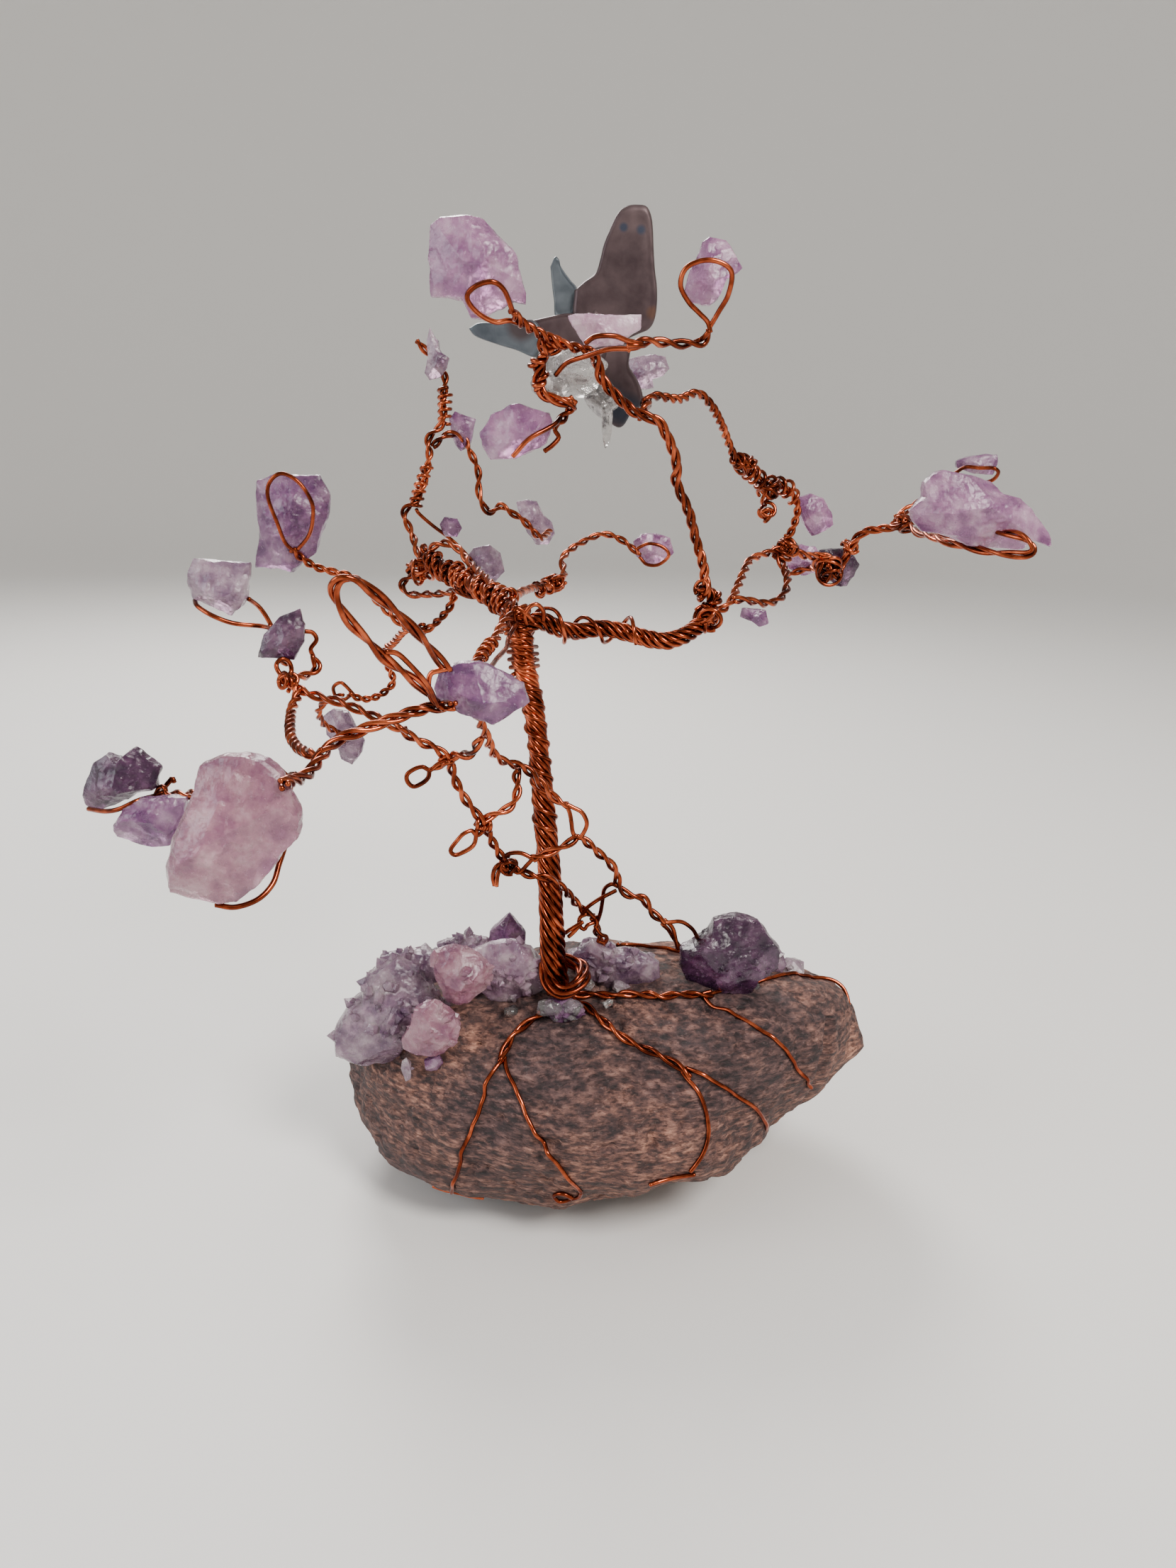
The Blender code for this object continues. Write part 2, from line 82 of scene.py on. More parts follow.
# piece: (the CAD node it stands for, each of its wires as its kind and x, y and z of the points along it)
WIRES = {
    "right_bough_rope": ("right_bough", """
    rope: -6 5 89.75, -4 5 90.5, -1.5 6 89.5, 1.5 8 88.75, 5 9 89.25, 9.5 8.5 88.5, 13.75 8 87.75,
        16.5 8.5 88.25, 19 10 89.75, 21 11 91.5"""),
    "upright_branch_wire": ("upright_branch", """
    branch: 21 11 92, 20.75 11 94, 19.75 10.5 96.25, 19.25 10 99, 17.75 9 102.75, 16.25 7 106.75,
        14.5 5.5 110.25, 14.25 4 113, 12.75 2.5 116.25, 11.25 1.5 118.25, 8.25 0.5 119.25, 6.25 0 120.75,
        4 -1 123, 3 -2 125.25, 2.5 -3 126, 1.5 -3.5 126.5"""),
    "crown_left_wire": ("crown_left_branch", """
    tight: 2 -3.25 126.25, 1.5 -3.5 126.5, -1.25 -5 127, -3.25 -6 127.75, -5.25 -8 128.5, -6.5 -10 129.25,
        -7.25 -12 130
    single: -7 -11.5 129.75, -7.25 -12 130.25, -8 -14 132.25, -9.25 -15 133, -11 -15 132.5,
        -12.25 -14.5 131.5, -12 -13.5 130.5, -10.75 -12 129.5, -9.25 -11 129, -7.75 -10.5 129.25,
        -6.5 -9.5 129"""),
    "crown_right_wire": ("crown_right_branch", """
    pair: 6.75 -7.5 126.75, 8.5 -7 127.5, 10.75 -5 127.75, 14 -3 127.75, 16.25 -2 128, 17 -2.5 129.5
    single: -2.25 -3 123.5, -0.75 -4.5 125, 1.75 -6 125.75, 4.5 -7 126.5, 7.25 -7.25 126.75, 8.5 -7 127.25
    single: 1.5 -9 127, 2.5 -9.5 127.75, 3.75 -9.5 128, 5.25 -9 128, 6.75 -8 127.5, 8.5 -7.25 127.25
    single: 17.25 -2.5 129.25, 16.75 -2.75 130.5, 15.5 -3.5 131.5, 14 -4 132.75, 13 -5 134.5,
        13.75 -5.5 136.5, 16.5 -5.5 137.25, 19 -5 136.25, 19 -4 133.75, 18 -3 131.75, 17 -2.5 129.75"""),
    "crown_hanger_wire": ("crown_hanger", """
    branch: -3.5 -4 126.75, -4 -3 125, -4.5 -2 122.25, -3.25 -1.5 120.75, -0.75 -1 120.25, 0.25 0 120
    tight: -0.25 -1 120.75, -0.25 0 119.5, -1.5 -0.5 118, -2.25 -1 117.25
    single: -1.5 -1 118.25, -2.5 -2.5 117.25, -5.5 -4 115.5, -7.5 -4 113.25
    single: -1.5 -0.5 118, -2.25 -1 116.75, -1.75 -1 115.75, -2.5 -1.5 114.75, -3.5 -2 114"""),
    "upper_right_wire": ("upper_right_branch", """
    tight: 8.75 1 118.5, 9.25 1.5 119.25, 9.75 3 120.75, 11 5 121.5, 14.25 9 121.25, 17.25 13 122.25,
        19.5 16 120.75, 21.75 20 118, 23.75 24 114.5, 26 27 112, 29.5 30 109.75, 33.25 32 109, 36 34 106.25,
        35.75 35 102.5, 34.75 35.5 100
    pair: 9.5 2.5 120.5, 10.2 14 120.4, 9.9 26 121.2, 9.3 31 122.4, 8.8 37 124.1, 8.2 42 125.4, 8 45 126"""),
    "ring_wire": ("ring_loop", """
    pair: 21.75 12 92, 24 14 92.75, 27 24 96.5, 28.75 29 97.75, 32 33 98.5, 35 36 99.25
    pair: 33 34 98.25, 34.25 32 96.5, 34.5 28 94.75, 33.5 24 93, 30.75 20 92, 26.75 16 93, 24.5 14 93.25"""),
    "far_right_wire": ("far_right_branch", """
    branch: 34.5 35.5 99.25, 38.75 38 97.75, 42.75 41 97.25, 45.5 42 95.5, 46.75 42 98.5, 48.5 41 101.5,
        51.5 39 102.5, 54 36.5 103.25
    double: 53.25 37 103.25, 55 35 103.25, 55.5 30 102.5, 57.25 24 102.75, 59.75 18 104, 62.25 13 104.5,
        64.5 10 104.25, 66 9 102.75, 65 9.5 101.75, 61.25 12 101.75, 57.5 17 102.25, 56 22 102.5, 55 32 103
    pair: 43.4 42 96, 43.4 47 94.9, 43.3 52 94.2, 43.2 55.5 93.9, 41.7 57 93.2, 40.1 57.5 92.5,
        38.9 58 92.4, 38.7 59 93.4"""),
    "far_rear_wires": ("far_rear_wire", """
    pair: 53.25 39 104.25, 56.25 41 106, 59.5 43 107.75, 63.25 44.25 110.75
    single: 62.75 44 110.5, 64 44 111.75, 65.25 43 112.75, 67.25 42 112.75, 69.25 41 112.75,
        70.25 41.5 112, 69.75 43 110.75, 67.5 44.5 110.25, 64.75 45 110.5, 63 44.5 110.25"""),
    "left_rear_rope": ("left_rear_bough", """
    rope: -8 5 91.5, -10.75 12 92.75, -14.5 20 93, -18.25 27 93.5, -21.5 32 94.5, -24 35.5 95.25
    pair: -24 35.5 95, -23.5 34.5 97, -21.25 33 98.25, -18.5 31 97.5, -16.25 27 95.75, -12 15 94.5,
        -9.25 7 92.75
    pair: -17.25 27 92.25, -19.25 30 90.75, -24 35 89.5, -27.75 38 89, -29.25 39.5 90.25, -27.5 38.5 92,
        -25.25 37 93, -24.25 36 94.25"""),
    "upper_left_wire": ("upper_left_branch", """
    pair: -24.25 36 94.25, -26 38 95.75, -27.5 41 98.5, -29.25 43 102, -27.25 44 104.25, -26 45 107.25,
        -25.25 46 111.75, -25.5 47 114.25, -23.25 48 116.75, -23.25 49 120.25, -23 50 124, -24 50 126,
        -25.75 49.5 128, -27.75 49 130
    single: -27.25 43.75 102.75, -26.75 43.5 102, -24.5 45 99.75, -21.75 47 97.5, -18.75 46.5 94.75,
        -17.25 46 93"""),
    "inner_left_wire": ("inner_left_branch", """
    pair: -24.75 46.75 113, -22.25 48 115, -20 51 114.25, -18.75 51 112, -17.5 51.5 109,
        -17.25 51.5 104.75, -15.5 51 102, -13.25 50 103.25, -11.25 50 102, -9.5 50.5 101, -8 51 99.5,
        -6.25 53 97.75, -5 60 98.25"""),
    "left_drooping_wire": ("left_drooping_branch", """
    tight: -18.5 29 91.25, -18.75 26 90.25, -19.75 26 88.25, -21.75 27 86, -24 28 84.25, -26.75 29 84.5,
        -30 35 81, -32 39 79.25, -32 40 76, -31 40 73.25, -33.25 39 71, -36 38 70.5, -38.25 37 71.5
    single: -37.25 37.5 71, -38.5 36.75 72.75, -39.5 36.5 73.5, -40.75 36.75 72.5, -40.5 37.5 70.75,
        -39.25 37.5 70.25, -37.75 37.5 71.25
    pair: -39.25 37.5 70.75, -41.25 38 70.5, -44.5 41 67.5, -45 46 63.75, -43 50 60.75, -42 52 58.5"""),
    "pendant_wires": ("pendant_wire", """
    tight: -23.5 28 85.25, -26.75 29 84.75, -30.75 29.5 88, -34.75 30 92, -38 29.5 93.25,
        -41.25 28.5 94.25, -43.5 27.5 95.75, -44.5 26.75 97
    single: -44.25 26.75 96.75, -45.25 25.5 98.25, -46 24 101.5, -47 23.5 105.25, -46.5 23.5 107.5,
        -44.75 23.5 108.75, -42.25 23.5 107.5, -40.25 23.75 104.5, -40.5 24.5 101.75, -41.5 25.5 99.25,
        -43.5 26.75 97"""),
    "middle_rear_wire": ("middle_rear_branch", """
    pair: -8.25 8 92.75, -7.75 14 93, -6.5 30 91.75, -3.5 38 91.25, -1.75 44 92.5, -2 49 94.75, 1 54 97,
        4.75 58 98.25, 8 60 97.25, 10.5 60 95.75, 12 59.5 94.75
    single: 11 59.75 95.5, 13.25 58.5 96.75, 16 58.5 96.25, 17.25 58.5 94.75, 15.5 58.75 93, 13.25 59 93,
        11.75 59.5 94.25"""),
    "front_stem_wire": ("front_stem", """
    pair: -7.75 2 91.75, -8.75 -2 91, -9 -6 90.25, -10 -11 89.25, -10.5 -16 88.75, -11.25 -19 88.25
    single: -7 1.5 90.75, -7.75 -2 89.5, -7.75 -7 88.75, -8.5 -13 88.5, -9 -19 88.25
    single: -12.75 -27.5 90, -14 -28 89.75, -15 -28 89.25, -15.25 -28 87.75, -15 -27 86, -13.75 -26 84.75"""),
    "front_hairpin_wire": ("front_hairpin", """
    double: -14.25 -26 85.25, -15.5 -28 87.25, -17.5 -31 90, -19.5 -33 92.25, -21.25 -35 94.75,
        -22.75 -37 97.25, -23.75 -38 99.75, -23 -38.5 101.25, -21.5 -38 101.25, -20 -37 100, -18.25 -35 98,
        -16.25 -33 95.5, -14.5 -30 92.5, -13 -27.5 89.75
    single: -19.25 -33 92.75, -17.75 -32 92.25, -16 -30 89.75, -15 -28.5 87.75, -14.5 -26.5 85.5"""),
    "front_left_wire": ("front_left_branch", """
    branch: -12.5 -26 85.25, -14 -25 84.75, -16.5 -27 84.75, -19.75 -28 83.75, -23 -29 82.5,
        -25.5 -31 81.75, -26.5 -34 80.75, -27 -37 79.75, -27.75 -41 80, -27.75 -46 81
    single: -28.6 -38 79.8, -29.1 -37.6 78.9, -29.5 -37.4 76.7, -29.5 -37.6 74.1, -29.9 -38.4 71.4,
        -30.4 -39.5 69.5, -30.8 -41 67.8, -32.1 -42.5 66.6, -34.3 -43.6 66.1, -36.3 -44 66.5
    single: -28 -42 80.25, -29.75 -41 81.25, -31.75 -39 81.25, -35.25 -36 79.75"""),
    "left_branch_wire": ("left_branch", """
    pair: -19.75 -15.5 79.25, -21 -16 79.75, -25 -14 80.75, -29 -12 81.75, -33.25 -10 82.25,
        -36.25 -8.5 83, -37.5 -8 84
    single: -37 -8 83.75, -38 -8 84.5, -38.5 -7.5 85.5, -37.75 -7 86.25, -37 -6.5 85.75, -36.75 -6.5 84.5,
        -37.25 -7.5 83.75
    tight: -35.25 -9 83, -35 -11 81.75, -34.75 -15 81, -32.25 -25 80.25, -29 -32 80.5, -26.5 -34 81
    pair: -36.5 -7.5 83.25, -36 -4.5 83.25, -35.25 -2.5 83.25, -34.25 -2 84.25, -35 -1.75 85.75
    single: -34.75 -1.75 85.5, -35 -2.25 86.75, -34.25 -2 88, -34.75 -2 89, -35.75 -2.5 89.25"""),
    "left_twig_wire": ("left_twig", """
    tight: -38 -5 85.25, -39 -3 86.25, -40.25 -1 88, -40.75 0 89.5
    single: -40.75 0 89, -41.5 -4 90, -44.5 -5.5 90.5, -47 -6 91.5, -49.25 -5 92.5, -50.25 -3 93
    single: -40.75 0 89, -41.75 0 90.75, -42.5 -0.5 92, -43 -3 93.5"""),
    "far_left_wire": (None, """
    pair: -28 -38 79.25, -30.5 -36 78.5, -37.5 -29 75.25, -44.25 -24 72.5, -49 -21 71.25, -50 -20.5 71.75,
        -51.25 -20.5 70.75
    single: -50.75 -21 71, -51.5 -24.5 71.5, -53.75 -25 70.5, -56 -24 69.75, -59 -22 69.25
    single: -50.5 -19 71, -50.25 -18.6 71.6, -49.75 -18.4 72.2, -49.4 -18.4 72.6, -49.2 -18.4 72"""),
    "left_ladder_wire": ("left_ladder_rail", """
    pair: -21.25 -14.5 79.25, -18.75 -12.5 77, -16.75 -11 75.75, -15 -10 73.75, -14.5 -9 71, -13 -8 67.75,
        -10.75 -7 64, -9.75 -6 61.5, -8.25 -5 58.5, -6.75 -4.25 56.75, -4 -4 55.25, -2 -3.5 54.75,
        -0.25 -2 53.25, 1.75 1 50, 3.5 3.5 47, 5.5 4.25 45.5
    pair: 5.25 4.25 45.5, 5.75 4.5 44.25, 6 5 42.25, 6.75 6 40, 7.75 7 38, 9.5 8 36.5
    single: 5.5 4 44.25, 6.5 4.25 42.75, 7.5 5 42, 7.25 5.5 40.75, 6.25 5 41.25
    double: 3.75 3 45.25, 2.5 2.5 44.25, 1.25 2.25 43.25
    single: 4.25 3.5 46.25, 3.25 3.25 45.75, 3.25 3.25 44.5, 4 3.5 43.75, 4.5 3.5 44.5, 5.5 4 44.75
    single: -15.25 -10 73.5, -16.25 -10.25 72.75, -17.5 -10.5 72.5, -17.75 -10.75 71.5, -18.5 -11 70.75,
        -19.75 -11.25 70.25, -20.5 -11.5 71, -20.5 -11.5 72, -19.5 -11.25 72.75, -18.5 -11 73,
        -17.5 -10.75 72.5, -16.5 -10.5 73.25, -15.25 -10 73.75
    single: -10.75 -7 63.5, -11.5 -7.25 63.25, -11.75 -7.5 61.5, -12.25 -8 60.75, -13.5 -8.25 60,
        -14.5 -8.5 59.75, -15 -8.5 60.5, -14 -8.25 62, -13.25 -8 62.75, -12.25 -7.5 63, -11.5 -7.25 62.25,
        -10.5 -7 63
    double: -7.25 -4.5 57, -8.5 -5 56.75, -9 -5.25 55.5, -9 -5.5 54"""),
    "right_ladder_wire": ("right_ladder_rail", """
    pair: -10.5 -20 83, -10 -18 81, -9.5 -15 78.5, -9 -11 75.25, -7.5 -8 73.25, -5.5 -5.5 72,
        -3.5 -4.5 70, -2 -4 68, -0.25 -4 66.5, 1 -4 66
    single: 0.75 -4 66.25, 1.25 -4.25 65, 1.5 -4.5 63.75, 1.75 -4.25 62.25, 2.25 -4 61.25
    single: 0.75 -4 66.25, 1.75 -4 65.75, 3 -4 65, 3.75 -4 63.5, 3.5 -4 62.25, 2.75 -4 61
    pair: 2.25 -4 61.25, 3.25 -3.5 61, 4.5 -3 59.75, 6.25 -2 57.75, 7.75 -1 56, 8.5 -0.25 54,
        8.75 0.25 52.25, 10.5 0.5 50.75, 12.5 1 50.25, 13.75 1.5 48, 16 1.75 46
    double: 15.75 1.75 46.25, 17 2.5 44.75, 17.75 3 43, 18.5 3.5 41.25
    single: 15.75 1.75 46, 17 2.25 46, 18.75 3 45.75, 20.5 4 44.25, 21.5 5 42.25
    single: 8.75 0.25 52.25, 7.75 0.5 52.5, 6.75 1.5 51.25, 6.5 2.5 49, 6.25 3.5 46.5, 5.75 4.5 44.25
    single: 8.5 0.25 51.75, 7 1 50.5, 5.75 2 49.25, 4.25 3 47.5, 3.5 3.5 46"""),
    "upper_rung_wire": ("upper_rung", """
    pair: -10.75 -7 64.25, -9.5 -6.75 65, -8.25 -6.5 65.5, -6.75 -6 66.5, -6 -5.5 68.5, -6.25 -5.25 70.25,
        -6 -5.25 71.5
    pair: -15 -10 74, -13.75 -11 75, -12.25 -12.5 75.25, -11.5 -13.5 76, -10.75 -15 77.5, -10 -15.5 78.75"""),
    "lower_rung_wire": ("lower_rung", """
    pair: 2.5 -4 61.5, 1.75 -4.25 60.75, 0 -4.5 59.75, -2 -5 59, -3.75 -5 58.25
    single: -3.75 -5 58.25, -4.5 -4.75 57.25, -5.75 -4.5 55.75, -6.75 -4.25 56
    single: -3.75 -5 58.25, -5.25 -5 59, -6.75 -5 59, -7.75 -4.75 58.25, -7.75 -4.5 57.25"""),
    "foot_curl_wire": (None, """
    curl: -1.75 1 39, -1.25 -1.5 37.25, 0.5 -3 36.5, 2.5 -3 37, 4 -1.5 38, 3.75 1.5 38.25, 2 3 38.5,
        1 3.5 38.5"""),
    "trunk_top_wire": (None, """
    single: -5.75 3.5 90.25, -6 2.75 91.75, -5.25 2.5 93, -4.25 2.75 93.25, -3.5 3.5 92.25, -3.5 4 90.75
    single: -6.75 3 88.5, -7.5 2.5 89.75, -8 2.5 91.5, -7.25 2.5 92.75, -5.75 2.75 91.75, -4.75 3.5 90.5"""),
}

# wires on the stone, as above, with how far each lies above the skin after its kind
ROOTS = {
    "front_left_root_wire": ("front_left_root", """
    loose 0.75: 0.5 -1.8 34.6, -0.5 -2.8 34.2, -1.9 -3.5 33.4, -3.9 -5 32.3, -5.9 -7.1 31.1, -7 -9.2 29.9,
        -7.5 -10.7 28.8
    single 0.34: -7 -10.1 29.3, -8.4 -11.7 27.7, -9.7 -13.2 25.2, -10.7 -14.3 22.1, -11.8 -14.7 19.1,
        -12.6 -14.9 16.2, -13.3 -14.5 12.4, -14 -11.8 7.6
    single 0.2: -17.4 -9.2 6.4, -14 -10.6 5.8, -10.5 -11.6 5.2"""),
    "front_middle_root_wire": ("front_middle_root", """
    single 0.34: -7.2 -10.2 29.3, -6.5 -11.5 28.2, -4.7 -14.3 25.9, -2.4 -16.6 22.6, 0.4 -18.2 19.1,
        3 -18.5 15.5, 4.7 -17.2 11.7
    single 0.3: 4.7 -17.2 11.7, 4.4 -16.3 10.3, 2.4 -15.4 9, 0.8 -15.6 9.8, 1.9 -16.4 11, 3.6 -16.2 10.4"""),
    "front_right_root_wire": ("front_right_root", """
    loose 0.75: 1.6 -1.4 35, 3.9 -1.9 34.4, 6.1 -3.7 33.3, 8.4 -6.1 32.4, 11.3 -8.3 31.3, 15 -9.8 30.4,
        17.5 -10.9 29.6, 19.6 -12.2 28.2
    single 0.34: 18.6 -12 28.9, 20.2 -13.2 27.5, 21.3 -13.8 26.2, 22.3 -14.2 22.5, 22.3 -15.3 19.7,
        21.3 -16.8 17.7, 20.2 -17.4 16.2
    single 0.25: 14.2 -17.6 14.6, 17.4 -17.4 14.9, 20.9 -17 15.6"""),
    "outer_right_root_wire": ("outer_right_root", """
    single 0.34: 19 -11.2 29.2, 21.1 -11.9 28.9, 24.5 -12.5 27.4, 27.8 -11.7 24.9, 30.9 -9.6 21.1,
        33.4 -7.6 16.8"""),
    "back_right_root_wire": ("back_right_root", """
    loose 0.75: 2.2 -0.6 35.4, 5.1 0 35.1, 9 0 35.1, 13 -0.6 35.3, 16.2 -1.2 35.3, 18.7 -0.4 35.5,
        21.6 0.2 35.2, 23.9 1.2 35
    single 0.5: 23.3 0.7 35, 25.7 2.5 35, 31.1 6 34.7, 36 10 34, 40.5 13 33, 44 15 31.5, 46.3 14.5 29.8,
        46.8 12.5 27.6"""),
    "side_right_root_wire": ("side_right_root", """
    single 0.34: 22.8 0.9 35, 25.3 -1.6 34.1, 29.4 -4.4 32.8, 33.5 -6.1 30.7, 36.6 -6.1 27.7,
        38.8 -5 24.4, 41.5 -4.6 22.4"""),
    "rear_root_wires": (None, """
    double 0.4: -24.5 12 34, -21 12 36, -17 10 36.5
    double 0.4: -6 17 36, -3 17.5 36.5, -1 17 37
    single 0.4: 9.5 14 36, 10 17 37, 12 18 37, 17 17 37, 23 16 36.5"""),
}

